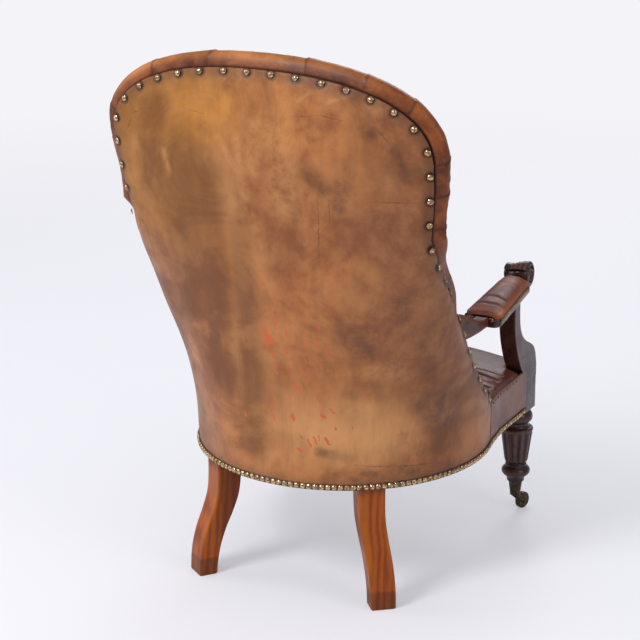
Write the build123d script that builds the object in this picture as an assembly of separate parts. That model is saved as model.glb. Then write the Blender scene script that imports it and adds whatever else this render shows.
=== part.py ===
from build123d import *
import math
import os

# Victorian leather library armchair with a spoon back, open arms, sabre rear legs and
# turned front legs on castors. Millimetres, +Z up, the chair faces -Y, left is +X.
# While the pieces are made, y = 0 is the datum line across the middle of the seat.
# At the end the whole chair is moved so that the origin is the middle of its outline.

# Driving dimensions of the whole chair
rail_bottom = 236.0
rail_height = 76.0
rail_thickness = 26.0
seat_half_width = 286.0
seat_half_depth = 290.0
rear_reach = 283.0
back_rise = 799.0
hide_bottom = 232.0
seam_rise_share = 0.6408
seam_half_width = 317.0
seam_join_half_width = 303.0
arch_rise = 147.0
arch_power = 2.25
front_half_width = 269.0
front_reach = 346.0
side_seam_y = -80.0
side_kink_y = -147.0
side_seam_half_width = 277.0

# Leather, cloth and small gaps
leather = 3.0
cloth = 1.4
fitting_gap = 0.5
soft_gap = 0.3
overrun = 400.0

# Master form of the back: share of the rise, then half width, half depth and rear reach,
# each as a share of its size at the seat rail
form_shares = [
    (0.000, 1.000, 1.000, 1.000),
    (0.113, 1.007, 0.990, 1.021),
    (0.210, 1.012, 0.869, 1.041),
    (0.285, 1.021, 0.731, 1.064),
    (0.373, 1.042, 0.566, 1.102),
    (0.461, 1.059, 0.441, 1.141),
    (0.523, 1.063, 0.345, 1.173),
    (0.586, 1.063, 0.266, 1.201),
    (0.641, 1.073, 0.241, 1.226),
    (0.711, 1.147, 0.283, 1.261),
    (0.773, 1.280, 0.383, 1.290),
    (0.824, 1.416, 0.483, 1.309),
    (0.886, 1.538, 0.545, 1.302),
    (0.961, 1.580, 0.572, 1.272),
    (1.036, 1.590, 0.579, 1.219),
]
form_sections = 20
sections_above = 1
bow_points = 15
walk_steps = 8
halvings = 16
way_steps = 200
arch_steps = 8
frame_step = 0.004
way_to_join = 0.5
way_to_arch = 0.65

# Side line of the seam: share of the rise, then y as a share of the rear reach
seam_shares = [
    (0.0000, -0.283),
    (0.0600, -0.283),
    (0.1126, -0.283),
    (0.1564, -0.152),
    (0.1960, -0.041),
    (0.2365, 0.081),
    (0.2816, 0.177),
    (0.3273, 0.269),
    (0.3755, 0.359),
    (0.4205, 0.450),
    (0.4618, 0.560),
    (0.5219, 0.738),
    (0.5820, 0.905),
    (0.6408, 1.020),
]

# Back frame, roll and inside pad
upright_inner = 47.0
upright_outer = 7.0
upright_front = 24.0
roll_side_bulge = 21.0
roll_top_bulge = 31.0
roll_low_bulge = 6.0
roll_depth = 50.0
roll_low_depth = 36.0
roll_low_share = 0.47
roll_high_share = 0.58
roll_end_share = 0.9
roll_stations = 17
pad_edge = 48.0
pad_side_depth = 50.0
pad_back_depth = 70.0
pad_form_loss = 20.0
pad_least_depth = 50.0
button_radius = 9.0
button_height = 5.0
button_round = 3.0
button_sink = 2.0
button_well = 30.0
button_pitch_x = 118.0
button_pitch_z = 104.0
button_lowest = 452.0
button_rows = 5
web_width = 50.0
web_pitch = 96.0
web_lowest = 400.0
web_count = 6
web_front = upright_front + soft_gap + cloth
web_edge = pad_edge - 6 * soft_gap

# Roll in section: shares of the bulge and of the depth round its edge, then shares of the
# frame's inner edge and of the depth over its face
roll_edge_shares = [(0.80, 0.16), (1.00, 0.42), (0.78, 0.75), (0.10, 0.93)]
roll_face_shares = [(0.20, 0.995), (0.45, 1.000), (0.72, 0.975)]

# Seat
seat_top = 355.0
seat_curve_y = -48.0
seat_crown_radius = 1212.0
seat_crown_y = -150.0
cover_thickness = 5.0
seat_pad_gap = 4.0
step_y = -90.0
support_step_y = -261.0
border_bottom = 230.0
border_top = 318.0
border_rear_gap = 7.0
seat_web_pitch = 90.0
seat_web_first_y = -250.0
seat_web_cross_count = 5
seat_web_long_count = 3
spring_radius = 30.0
spring_wire = 1.9
spring_turns = 5
spring_rows = 3
spring_first_y = -160.0
bottom_cloth_inset = 12.0
corner_brace = 45.0
corner_block_height = 61.0

# Front legs
block = 56.0
block_bottom = 225.0
block_top = 293.0
leg_x = front_half_width - block / 2
leg_y = -front_reach + block / 2
reed_count = 10
reed_groove = 3.0
reed_top = 179.0
reed_bottom = 112.0
reed_top_radius = 33.0
reed_bottom_radius = 23.0
block_chamfer = 1.2
# Turning below the block: a share of the reeds' top radius and a share of the height from the cup
# to the block; runs of two points are straight and runs of three are arcs
leg_runs = [
    [(0.788, 1.000), (0.788, 0.975)],
    [(0.788, 0.975), (0.849, 0.962)],
    [(0.849, 0.962), (0.964, 0.899), (0.849, 0.835)],
    [(0.849, 0.835), (0.727, 0.829)],
    [(0.727, 0.829), (0.727, 0.810)],
    [(0.727, 0.810), (0.758, 0.772), (0.909, 0.753)],
    [(0.909, 0.753), (0.985, 0.747)],
    [(0.985, 0.747), (1.030, 0.728), (1.000, 0.709)],
    [(1.000, 0.709), (0.697, 0.285)],
    [(0.697, 0.285), (0.667, 0.269), (0.606, 0.263)],
    [(0.606, 0.263), (0.606, 0.253)],
    [(0.606, 0.253), (0.661, 0.253)],
    [(0.661, 0.253), (0.661, 0.234)],
    [(0.661, 0.234), (0.621, 0.228)],
    [(0.621, 0.228), (0.879, 0.149), (0.636, 0.076)],
    [(0.636, 0.076), (0.530, 0.019)],
    [(0.530, 0.019), (0.530, 0.000)],
]

# Rear legs
rear_face_x = 168.0
rear_face_y = 232.0
rear_turn = 38.5
rear_width = 52.0
rear_foot_width = 48.0
rear_depth = 50.0
rear_foot_depth = 37.0
rear_kick_x = 33.0
rear_kick_y = 17.0
rear_foot_chamfer = 3.0
rear_sabre_shares = [
    (1.000, 0.00),
    (0.850, 0.00),
    (0.700, 0.07),
    (0.550, 0.32),
    (0.400, 0.64),
    (0.250, 0.87),
    (0.125, 0.97),
    (0.000, 1.00),
]

# Arm supports and arms
support_thickness = 34.0
support_reach = 96.0
support_height = 207.0
notch_bottom = 299.0
arm_low = 484.0
arm_rise = 7.0
arm_thickness = 19.0
arm_rear_y = -42.0
arm_front_y = -262.0
arm_rear_inner = 233.0
arm_rear_outer = 307.0
arm_front_inner = 224.0
arm_front_outer = 282.0
arm_corner = 14.0
neck_inner = 256.0
neck_outer = 283.0
neck_root_top = 546.0
neck_root_low = 492.0
neck_lap = 20.0
neck_tip = -4.0
scroll_inner = 224.0
scroll_outer = 274.0
scroll_radius = 29.0
scroll_y = -284.0
scroll_z = 520.0
curl_radius = 11.0
curl_y = -281.0
curl_z = 492.0
curl_width = 47.0
scroll_reeds = 4
scroll_groove = 2.4
scroll_groove_depth = 3.0
whorl_radius = 14.0
whorl_height = 2.0
pad_crown = 19.0
pad_crown_shares = [(0.00, 0.53), (0.18, 0.85), (0.50, 1.00), (0.82, 1.00), (1.00, 0.86)]
pad_wall = 4.0
pad_margin = 2.5
dowel_radius = 5.0
dowel_length = 36.0
dowel_clearance = 0.05
dowel_end_gap = 1.0
leg_dowel_inset = 38.0
arm_dowel_y = -237.0
arm_dowel_length = 25.0

# Support in side view: shares of its reach back from the front and of its height over the leg
support_front_shares = [
    (0.000, 0.000),
    (0.010, 0.145),
    (0.042, 0.232),
    (0.156, 0.319),
    (0.365, 0.382),
    (0.604, 0.435),
    (0.802, 0.502),
    (0.938, 0.594),
    (1.000, 0.710),
    (1.010, 0.845),
    (1.000, 1.000),
]
support_rear_shares = [
    (1.281, 1.000),
    (1.292, 0.700),
    (1.229, 0.527),
    (1.104, 0.377),
    (0.938, 0.237),
    (0.729, 0.106),
    (0.583, 0.034),
    (0.583, 0.000),
]
# Neck in side view: shares of its reach from the board to the seam and of its rise over the arm
neck_reach = 140.0
neck_rise = 62.0
neck_upper_shares = [
    (0.000, 0.306),
    (0.286, 0.339),
    (0.529, 0.500),
    (0.871, 0.806),
]
neck_lower_shares = [
    (0.657, 0.065),
    (0.371, 0.016),
    (0.000, 0.016),
]

# Castors
castor_turn = 17.4
castor_trail = 24.0
wheel_radius = 17.0
wheel_width = 11.0
wheel_tread = 1.2
axle_radius = 2.5
axle_end = 0.5
running_clearance = 0.05
cheek_gap = 0.5
cheek_thickness = 2.5
cheek_half_width = 8.2
cheek_lap = 1.0
cheek_shoulder = 4.0
boss_radius = 6.0
horn_plate_radius = 10.2
horn_plate_thickness = 3.0
horn_top = 39.2
cup_bottom = 39.5
cup_top = 67.0
cup_top_radius = 14.0
cup_bottom_radius = 10.6
cup_wall = 1.6
cup_floor = 2.0
pivot_radius = 3.5
pivot_length = 18.0
pivot_end_gap = 0.5

# Nails
nail_radius = 5.8
nail_height = 3.0
edge_nail_pitch = 47.0
edge_nail_inset = 6.0
edge_nail_gap = 0.9
edge_nail_first = 0.012
edge_nail_steps = 641
trim_nail_pitch = 11.9
trim_band_height = 12.0
trim_band_thickness = 1.2
trim_gap = 0.9
trim_steps = 64
trim_nail_share = 0.95
trim_nail_z = 235.0
arm_nail_radius = 4.4
arm_nail_height = 2.2
arm_nail_pitch = 10.4
arm_nail_first = 0.7
arm_nail_gap = 0.4
small_nail_radius = 2.6
small_nail_height = 1.4
small_nail_pitch = 17.0
small_nail_drop = 6.0
small_nail_gap = 0.7

parts = {}


# Curves that the whole back follows

def smooth(table, share, column):
    """Smooth value of one column of a table at a share, by cubic pieces between its rows."""
    last = len(table) - 1
    i = 0
    while i < last - 1 and share > table[i + 1][0]:
        i += 1

    def slope(j):
        low, high = max(j - 1, 0), min(j + 1, last)
        return (table[high][column] - table[low][column]) / (table[high][0] - table[low][0])

    span = table[i + 1][0] - table[i][0]
    t = (share - table[i][0]) / span
    start, end = table[i][column], table[i + 1][column]
    return (
        (2 * t**3 - 3 * t**2 + 1) * start
        + (t**3 - 2 * t**2 + t) * span * slope(i)
        + (3 * t**2 - 2 * t**3) * end
        + (t**3 - t**2) * span * slope(i + 1)
    )


def form_row(z):
    """Half width, half depth and centre y of the back's outer ellipse at a height."""
    share = (z - hide_bottom) / back_rise
    half_width = seat_half_width * smooth(form_shares, share, 1)
    half_depth = seat_half_depth * smooth(form_shares, share, 2)
    return half_width, half_depth, rear_reach * smooth(form_shares, share, 3) - half_depth


join_z = hide_bottom + seam_rise_share * back_rise
arch_z = hide_bottom + back_rise - arch_rise
seam_top = hide_bottom + back_rise


def seam_y(z):
    """y of the seam on the side of the back, below the join height."""
    return rear_reach * smooth(seam_shares, (z - hide_bottom) / back_rise, 1)


def shoulder_x(z):
    """x of the seam above the join height, as far as the arch."""
    t = min((z - join_z) / (arch_z - join_z), 1)
    return seam_join_half_width + (seam_half_width - seam_join_half_width) * t * (2 - t)


def arch_point(angle, inset):
    """x and z of the seam round the top, by a superellipse, at an angle from the side."""
    power = 2 / arch_power
    x = (seam_half_width - inset) * max(math.cos(angle), 0) ** power
    return x, arch_z + (arch_rise - inset) * math.sin(angle) ** power


def on_form(x_sign, z, x=None, y=None):
    """Point of the outer face at a height, from its x or its y."""
    half_width, half_depth, centre = form_row(z)
    if y is None:
        y = centre + half_depth * math.sqrt(max(1 - (x / half_width) ** 2, 0))
    else:
        x = half_width * math.sqrt(max(1 - ((y - centre) / half_depth) ** 2, 0))
    return Vector(x_sign * x, y, z)


def seam_on_way(way):
    """Point of the left half of the seam: 0 at its foot, 1 at the top."""
    low = rail_bottom + rail_height + cloth + 2 * soft_gap + 2 * fitting_gap
    if way < way_to_join:
        z = low + (join_z - low) * way / way_to_join
        return on_form(1, z, y=seam_y(z))
    if way < way_to_arch:
        z = join_z + (arch_z - join_z) * (way - way_to_join) / (way_to_arch - way_to_join)
        return on_form(1, z, x=shoulder_x(z))
    x, z = arch_point(math.pi / 2 * (way - way_to_arch) / (1 - way_to_arch), 0)
    return on_form(1, z, x=x)


way_points = [seam_on_way(i / way_steps) for i in range(way_steps + 1)]
way_lengths = [0.0]
for before, after in zip(way_points, way_points[1:]):
    way_lengths.append(way_lengths[-1] + (after - before).length)


def from_seam(x, y, z):
    """Least distance of a point from the seam or from its line down to the trim."""
    low = min(z, way_points[0].Z)
    foot = math.hypot(x - way_points[0].X, y - way_points[0].Y, z - low)
    return min(foot, min(math.hypot(p.X - x, p.Y - y, p.Z - z) for p in way_points))


def seam_angle(z, inset):
    """Angle round the ellipse at which a layer starts, a distance along the face from the seam."""
    half_width, half_depth, centre = form_row(z)
    if z < join_z:
        start = math.asin((seam_y(z) - centre) / half_depth)
    else:
        start = math.acos(shoulder_x(z) / half_width)
    if inset <= 0 or z > arch_z:
        for step in range(walk_steps):
            run = math.hypot(half_width * math.sin(start), half_depth * math.cos(start))
            start += inset / walk_steps / run
        return start
    near, far = start, math.pi / 2
    for step in range(halvings):
        middle = (near + far) / 2
        if from_seam(half_width * math.cos(middle), centre + half_depth * math.sin(middle), z) < inset:
            near = middle
        else:
            far = middle
    return near


def bow(half_width, half_depth, centre, start, end=None):
    """Points round one ellipse of the back, from an angle to another, or to its mirror angle."""
    points = []
    end = math.pi - start if end is None else end
    for i in range(bow_points):
        angle = start + (end - start) * i / (bow_points - 1)
        points.append((half_width * math.cos(angle), centre + half_depth * math.sin(angle)))
    return points


def outer_bow(z, depth, inset):
    """Bow of the master form at a height, a depth inside its face, a length in from the seam."""
    half_width, half_depth, centre = form_row(z)
    return bow(half_width - depth, half_depth - depth, centre, seam_angle(z, inset))


def pad_row(z):
    """Half width, half depth and centre y of the inside pad's ellipse at a height."""
    half_width, half_depth, centre = form_row(z)
    depth = max(half_depth - pad_form_loss, pad_least_depth)
    return half_width - pad_side_depth, depth, centre + half_depth - pad_back_depth - depth


def pad_bow(z):
    """Bow of the inside pad's face, from the point square across from the pad's outer edge."""
    edge_x, edge_y = outer_bow(z, web_front, pad_edge)[0]
    half_width, half_depth, centre = pad_row(z)
    row_width, row_depth, row_centre = form_row(z)
    x, y = edge_x / half_width, (edge_y - centre) / half_depth
    run_x, run_y = edge_x / row_width**2 / half_width, (edge_y - row_centre) / row_depth**2 / half_depth
    square = run_x**2 + run_y**2
    cross = x * run_x + y * run_y
    way = (cross - math.sqrt(cross**2 - square * (x**2 + y**2 - 1))) / square
    return bow(half_width, half_depth, centre, math.atan2(y - way * run_y, x - way * run_x))


def band(outer, inner, low=None, high=None):
    """Curved layer of the back between two bows, functions of the height, cut level at its ends.

    Every band is drawn through the same heights, one of them above the top, so that bands lie
    on each other evenly."""
    rings = []
    for i in range(form_sections):
        z = hide_bottom + back_rise * i / (form_sections - 1 - sections_above)
        far, near = outer(z), inner(z)[::-1]
        even = [j / (len(far) - 1) for j in range(len(far))]
        ring = [Edge.make_spline(far, parameters=even), Line(far[-1], near[0]).edge(),
                Edge.make_spline(near, parameters=even), Line(near[-1], far[0]).edge()]
        rings.append(Pos(0, 0, z) * make_face(ring))
    whole = loft(rings)
    return whole if low is None else whole & slab(low, high)


def layer(outer, inner, inset, low=None, high=None):
    """Curved layer of even thickness, between two depths inside the master form."""
    return band(lambda z: outer_bow(z, outer, inset), lambda z: outer_bow(z, inner, inset), low, high)


def arch_prism(inset):
    """Prism through the chair inside the arch of the seam, set in by inset."""
    half = [arch_point(math.pi / 2 * i / arch_steps, inset) for i in range(arch_steps)]
    line = half + [arch_point(math.pi / 2, inset)] + [(-x, z) for x, z in reversed(half)]
    below = hide_bottom - rail_height
    outline = Spline(line) + Polyline(line[-1], (line[-1][0], below), (line[0][0], below), line[0])
    return extrude(Plane.XZ * make_face(outline), 2 * overrun, both=True)


def arched(piece, inset):
    """A layer of the back cut to the arch of the seam, set in by inset."""
    return piece & arch_prism(inset)


def side_bow(z, depth, first, last):
    """Bow of a strip of the left side, between two lengths in from the seam."""
    half_width, half_depth, centre = form_row(z)
    return bow(half_width - depth, half_depth - depth, centre, seam_angle(z, first), seam_angle(z, last))


def slab(low, high, rear=2 * overrun, front=-2 * overrun):
    """Flat layer between two heights."""
    middle = (rear + front) / 2
    return Pos(0, middle, (low + high) / 2) * Box(2 * overrun, rear - front, high - low)


def form_normal(point):
    """Outward normal of the master form at a point of it."""
    half_width, half_depth, centre = form_row(point.Z)

    def level(z):
        a, b, c = form_row(z)
        return (point.X / a) ** 2 + ((point.Y - c) / b) ** 2

    step = fitting_gap
    up = (level(point.Z + step) - level(point.Z - step)) / (2 * step)
    across = 2 * point.X / half_width**2
    along = 2 * (point.Y - centre) / half_depth**2
    return Vector(across, along, up).normalized()


def seam_at(share):
    """Seam point at an even share of its length: 0 at the left foot, 0.5 at the top, 1 at the right."""
    want = way_lengths[-1] * 2 * min(share, 1 - share)
    i = max(k for k in range(way_steps) if way_lengths[k] <= want)
    way = (i + (want - way_lengths[i]) / (way_lengths[i + 1] - way_lengths[i])) / way_steps
    point = seam_on_way(min(way, 1))
    return point if share < 0.5 else Vector(-point.X, point.Y, point.Z)


def seam_frame(share):
    """Plane square to the seam, its x outward in the hide and its y in through the back."""
    point = seam_at(share)
    tangent = (seam_at(min(share + frame_step, 1)) - seam_at(max(share - frame_step, 0))).normalized()
    if share <= 0:
        tangent = Vector(0, 0, 1)
    if share >= 1:
        tangent = Vector(0, 0, -1)
    inward = form_normal(point) * -1
    inward = (inward - tangent * inward.dot(tangent)).normalized()
    outward = tangent.cross(inward)
    return Plane(origin=point, x_dir=outward, z_dir=outward.cross(inward))


def stations(first, last, count):
    return [first + (last - first) * i / (count - 1) for i in range(count)]


# Back frame

upright_low = way_points[0].Z
upright_back = leather + fitting_gap
parts["back_upright_left"] = band(
    lambda z: side_bow(z, upright_back, upright_outer, upright_inner),
    lambda z: side_bow(z, upright_front, upright_outer, upright_inner), upright_low, arch_z)
crest = layer(upright_back, upright_front, upright_outer, arch_z, seam_top)
parts["crest_rail"] = arched(crest, upright_outer) - arch_prism(upright_inner)


# Outside hide, webbing, inside pad and buttons

parts["outside_back_hide"] = arched(layer(0, leather, 0), 0)

web_layer = arched(layer(upright_front + soft_gap, web_front, web_edge), web_edge)
strips = []
for i in range(web_count):
    z = web_lowest + i * web_pitch
    strips += list((web_layer & slab(z, z + web_width)).solids())
parts["back_webbing"] = Compound(children=strips)

pad_floor = rail_bottom + rail_height + cloth + 2 * soft_gap
stuffed = band(lambda z: outer_bow(z, web_front + soft_gap, pad_edge), pad_bow, pad_floor, seam_top)
parts["inside_back_pad"] = arched(stuffed, pad_edge)


def pad_face(x, z):
    """Point and outward normal of the inside pad's face."""
    def y_at(x, z):
        half_width, half_depth, centre = pad_row(z)
        return centre + half_depth * math.sqrt(1 - (x / half_width) ** 2)
    step = fitting_gap
    slope_x = (y_at(x + step, z) - y_at(x - step, z)) / (2 * step)
    slope_z = (y_at(x, z + step) - y_at(x, z - step)) / (2 * step)
    return Vector(x, y_at(x, z), z), Vector(slope_x, -1, slope_z).normalized()


button = Pos(0, 0, button_height / 2) * Cylinder(button_radius, button_height)
button = fillet(button.edges().group_by(Axis.Z)[-1], button_round)
well = Pos(0, 0, button_well / 2) * Cylinder(button_radius + soft_gap, button_well)
buttons, wells = [], []
for row in range(button_rows):
    z = button_lowest + row * button_pitch_z
    across = 3 if row % 2 == 0 else 4
    for i in range(across):
        point, normal = pad_face((i - (across - 1) / 2) * button_pitch_x, z)
        buttons.append(Plane(origin=point - normal * button_sink, z_dir=normal) * button)
        wells.append(Plane(origin=point - normal * (button_sink + soft_gap), z_dir=normal) * well)
parts["back_buttons"] = Compound(children=buttons)


# Rolled leather edge of the inside back

def roll_size(share):
    """Bulge outside the seam and depth of the roll at a share of the way."""
    point = seam_at(share)
    rise = (point.Z - hide_bottom) / back_rise
    t = min(max((rise - roll_low_share) / (roll_high_share - roll_low_share), 0), 1)
    t = t * t * (3 - 2 * t)
    top = min(max((point.Z - arch_z) / arch_rise, 0), 1) ** 2
    bulge = roll_low_bulge + (roll_side_bulge - roll_low_bulge) * t
    bulge += (roll_top_bulge - roll_side_bulge) * top
    return bulge, roll_low_depth + (roll_depth - roll_low_depth) * t


def roll_section(share):
    """Padded edge in section: it wraps the outer side and the front of the frame."""
    bulge, depth = roll_size(share)
    outer = -upright_outer + fitting_gap
    inner = -upright_inner + 2 * fitting_gap
    shelf = upright_front + fitting_gap
    start, end = (outer, fitting_gap), (inner, depth * roll_end_share)
    edge = [(bulge * out, depth * into) for out, into in roll_edge_shares]
    face = [(-upright_inner * out, depth * into) for out, into in roll_face_shares]
    outline = ThreePointArc(start, edge[0], edge[1]) + ThreePointArc(edge[1], edge[2], edge[3])
    outline += ThreePointArc(edge[3], face[0], face[1]) + ThreePointArc(face[1], face[2], end)
    outline += Polyline(end, (inner, shelf), (outer, shelf), start)
    return seam_frame(share) * make_face(outline)


half_roll = loft([roll_section(share) for share in stations(0, 0.5, roll_stations)])
roll = half_roll + mirror(half_roll, Plane.YZ)
roll -= arched(layer(-roll_depth, leather + fitting_gap, -soft_gap), -soft_gap)
frame_inset = upright_outer - 2 * fitting_gap
roll -= arched(layer(-roll_depth, web_front + 2 * fitting_gap, frame_inset), frame_inset)
parts["inside_back_pad"] -= roll
for hole in wells:
    parts["inside_back_pad"] -= hole


# Seat rails

rail_top = rail_bottom + rail_height
rail_out = leather + fitting_gap
rail_ring = layer(rail_out, rail_out + rail_thickness, -rail_thickness)
parts["back_seat_rail"] = rail_ring & slab(rail_bottom, rail_top, front=side_seam_y)


def side_line(inset):
    """Plan of one side of the seat in front of the hide, set in by inset."""
    return [
        (side_seam_half_width - inset, side_seam_y),
        (front_half_width - inset, side_kink_y),
        (front_half_width - inset, -front_reach + block),
    ]


side_slope = (side_seam_half_width - front_half_width) / (side_seam_y - side_kink_y)


def side_piece(outer, inner, low, high, rear=0.0):
    """Upright board along one side of the seat, between two insets, its rear end moved forward."""
    far, near = side_line(outer), side_line(inner)
    far[0] = (far[0][0] - side_slope * rear, far[0][1] - rear)
    near[0] = (near[0][0] - side_slope * rear, near[0][1] - rear)
    plan = make_face(Polyline(*far, *reversed(near), close=True))
    return Pos(0, 0, low) * extrude(plan, high - low)


parts["side_rail_left"] = side_piece(rail_out, rail_out + rail_thickness, rail_bottom, rail_top)
front_rail_y = -front_reach + rail_out + rail_thickness / 2
front_rail_width = 2 * (front_half_width - block)
front_rail = Pos(0, front_rail_y, rail_bottom + rail_height / 2)
parts["front_seat_rail"] = front_rail * Box(front_rail_width, rail_thickness, rail_height)

# Glued corner blocks behind the front legs
inner_x = front_half_width - block
inner_y = -front_reach + block
rail_back_y = front_rail_y + rail_thickness / 2
rail_in_x = front_half_width - rail_out - rail_thickness
corner = make_face(Polyline(
    (inner_x - corner_brace, rail_back_y), (inner_x, rail_back_y), (inner_x, inner_y),
    (rail_in_x, inner_y), (rail_in_x, inner_y + corner_brace), close=True))
corner = Pos(0, 0, rail_bottom) * extrude(corner, corner_block_height)
parts["corner_blocks"] = Compound(children=[corner, mirror(corner, Plane.YZ)])


# Front legs

stub_top_radius = cup_top_radius - cup_wall
stub_bottom_radius = cup_bottom_radius - cup_wall
stub_bottom = cup_bottom + cup_floor


def front_leg():
    """Square block over a turned and reeded leg, with a stub that the castor cup holds."""
    def place(radius_share, height_share):
        return reed_top_radius * radius_share, cup_top + (block_bottom - cup_top) * height_share

    first, last = place(*leg_runs[0][0]), place(*leg_runs[-1][-1])
    outline = Line((0, block_bottom), first)
    for run in leg_runs:
        points = [place(*row) for row in run]
        outline += Polyline(*points) if len(points) == 2 else ThreePointArc(*points)
    outline += Polyline(last, (stub_top_radius, cup_top), (stub_bottom_radius, stub_bottom),
                        (0, stub_bottom))
    outline += Line((0, stub_bottom), (0, block_bottom))
    turned = revolve(Plane.XZ * make_face(outline), Axis.Z)
    slope = math.degrees(math.atan2(reed_top_radius - reed_bottom_radius, reed_top - reed_bottom))
    middle_radius = (reed_top_radius + reed_bottom_radius) / 2
    groove_length = reed_top - reed_bottom - reed_groove
    groove = Rot(0, slope, 0) * Rot(0, 0, 45) * Box(reed_groove, reed_groove, groove_length)
    groove = Pos(middle_radius, 0, (reed_top + reed_bottom) / 2) * groove
    for i in range(reed_count):
        turned -= Rot(0, 0, 360 / reed_count * (i + 0.5)) * groove
    square = Pos(0, 0, (block_bottom + block_top) / 2) * Box(block, block, block_top - block_bottom)
    square = chamfer(square.edges().filter_by(Axis.Z), block_chamfer)
    bore = Pos(0, 0, stub_bottom) * Cylinder(
        pivot_radius + running_clearance, 2 * (pivot_length - cup_floor + pivot_end_gap))
    return turned + square - bore


dowel_bore_radius = dowel_radius + dowel_clearance
support_x = front_half_width - support_thickness / 2
leg_dowel_y = -front_reach + leg_dowel_inset
arm_at_dowel = arm_low + arm_rise * (arm_rear_y - arm_dowel_y) / (arm_rear_y - arm_front_y)


def dowel(radius, x, y, z, length=dowel_length):
    return Pos(x, y, z) * Cylinder(radius, length)


leg = Pos(leg_x, leg_y, 0) * front_leg()
parts["front_leg_left"] = leg - dowel(dowel_bore_radius, support_x, leg_dowel_y, block_top)


# Rear legs

def rear_leg():
    """Sabre leg: square sections that kick outward and thin towards the foot."""
    direction = Rot(0, 0, -rear_turn)
    sections = []
    for height_share, kick in rear_sabre_shares:
        z = rail_bottom * height_share
        width = rear_foot_width + (rear_width - rear_foot_width) * height_share
        depth = rear_foot_depth + (rear_depth - rear_foot_depth) * height_share
        face = Pos(rear_face_x + rear_kick_x * kick, rear_face_y + rear_kick_y * kick, z)
        sections.append(face * direction * Pos(0, -depth / 2) * Rectangle(width, depth))
    body = loft(sections)
    return chamfer(body.faces().sort_by(Axis.Z)[0].edges(), rear_foot_chamfer)


# The top of the leg stands inside the hide and the trim
trim_low = trim_nail_z - trim_band_height / 2
trim_row = form_row(trim_nail_z)
inside_hide = Pos(0, trim_row[2], trim_low - rail_height) * extrude(
    Ellipse(trim_row[0] - rail_out, trim_row[1] - rail_out), 2 * rail_height)
parts["rear_leg_left"] = rear_leg() - (slab(trim_low - soft_gap, rail_top) - inside_hide)


# Arm support, arm and arm pad

def support_points(table):
    return [(-front_reach + support_reach * along, block_top + support_height * up) for along, up in table]


support_line, support_back = support_points(support_front_shares), support_points(support_rear_shares)


def arm_bottom(y):
    return arm_low + arm_rise * (arm_rear_y - y) / (arm_rear_y - arm_front_y)


support_outline = Line(support_back[-1], support_line[0]) + Line(support_line[0], support_line[1])
support_outline += Spline(support_line[1:]) + Line(support_line[-1], support_back[0])
support_outline += Spline(support_back[:-1]) + Line(support_back[-2], support_back[-1])
support = extrude(Plane.YZ * make_face(support_outline), support_thickness)
support = Pos(front_half_width - support_thickness, 0, 0) * support
above_support = make_face(Polyline(
    (0, arm_bottom(0)), (-2 * overrun, arm_bottom(-2 * overrun)), (-2 * overrun, 2 * overrun),
    (0, 2 * overrun), close=True))
support -= extrude(Plane.YZ * above_support, overrun)
support -= dowel(dowel_bore_radius, support_x, leg_dowel_y, block_top)
support -= dowel(dowel_bore_radius, support_x, arm_dowel_y, arm_at_dowel, arm_dowel_length)
parts["arm_support_left"] = support

# Notch for the foot of the support in the rail and the border behind the leg
notch = Box(2 * support_thickness, support_step_y - inner_y, rail_height,
            align=(Align.CENTER, Align.MIN, Align.MIN))
notch = Pos(support_x, inner_y, notch_bottom) * notch
parts["side_rail_left"] -= notch


def neck_solid(grow=0.0):
    """Rear neck of the arm, that sweeps back to the upright under the hide's edge."""
    root_low, root_top = neck_root_low - grow, neck_root_top + grow
    front = arm_rear_y - neck_lap
    upper = [(front + neck_reach * along, arm_low + neck_rise * up + grow)
             for along, up in neck_upper_shares]
    upper.append((seam_y(root_top) + neck_tip + grow, root_top))
    lower = [(seam_y(root_low) + neck_tip + grow, root_low)]
    lower += [(front + neck_reach * along, arm_low + neck_rise * up - grow)
              for along, up in neck_lower_shares]
    outline = Spline(upper) + Line(upper[-1], lower[0]) + Spline(lower) + Line(lower[-1], upper[0])
    width = neck_outer - neck_inner + 2 * grow
    return Pos(neck_inner - grow, 0, 0) * extrude(Plane.YZ * make_face(outline), width)


def arm():
    """Arm board with its rear neck and the carved scroll, worked from one piece of wood."""
    def section(y, inner, outer):
        low = arm_bottom(y)
        return Plane(origin=((inner + outer) / 2, y, low + arm_thickness / 2),
                     x_dir=(1, 0, 0), z_dir=(0, -1, 0)) * Rectangle(outer - inner, arm_thickness)
    board = loft([section(arm_rear_y, arm_rear_inner, arm_rear_outer),
                  section(arm_front_y, arm_front_inner, arm_front_outer)])
    board = fillet(board.faces().sort_by(Axis.Y)[-1].edges().filter_by(Axis.Z), arm_corner)
    width = scroll_outer - scroll_inner
    middle = (scroll_outer + scroll_inner) / 2
    along_x = Rot(0, 90, 0)
    scroll = Pos(middle, scroll_y, scroll_z) * along_x * Cylinder(scroll_radius, width)
    curl = Pos(middle, curl_y, curl_z) * along_x * Cylinder(curl_radius, curl_width)
    whorl = Pos(scroll_outer + whorl_height / 2, scroll_y, scroll_z) * along_x
    scroll += whorl * Cylinder(whorl_radius, whorl_height)
    for i in range(1, scroll_reeds):
        x = scroll_inner + width * i / scroll_reeds
        ring = Cylinder(scroll_radius + scroll_groove, scroll_groove)
        ring -= Cylinder(scroll_radius - scroll_groove_depth, scroll_groove)
        scroll -= Pos(x, scroll_y, scroll_z) * along_x * ring
    return board + scroll + curl + neck_solid()


arm_left = arm()
parts["arm_left"] = arm_left - dowel(dowel_bore_radius, support_x, arm_dowel_y, arm_at_dowel,
                                     arm_dowel_length)
roll -= neck_solid(2 * fitting_gap)
roll -= mirror(neck_solid(2 * fitting_gap), Plane.YZ)
parts["back_edge_roll"] = roll


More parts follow.
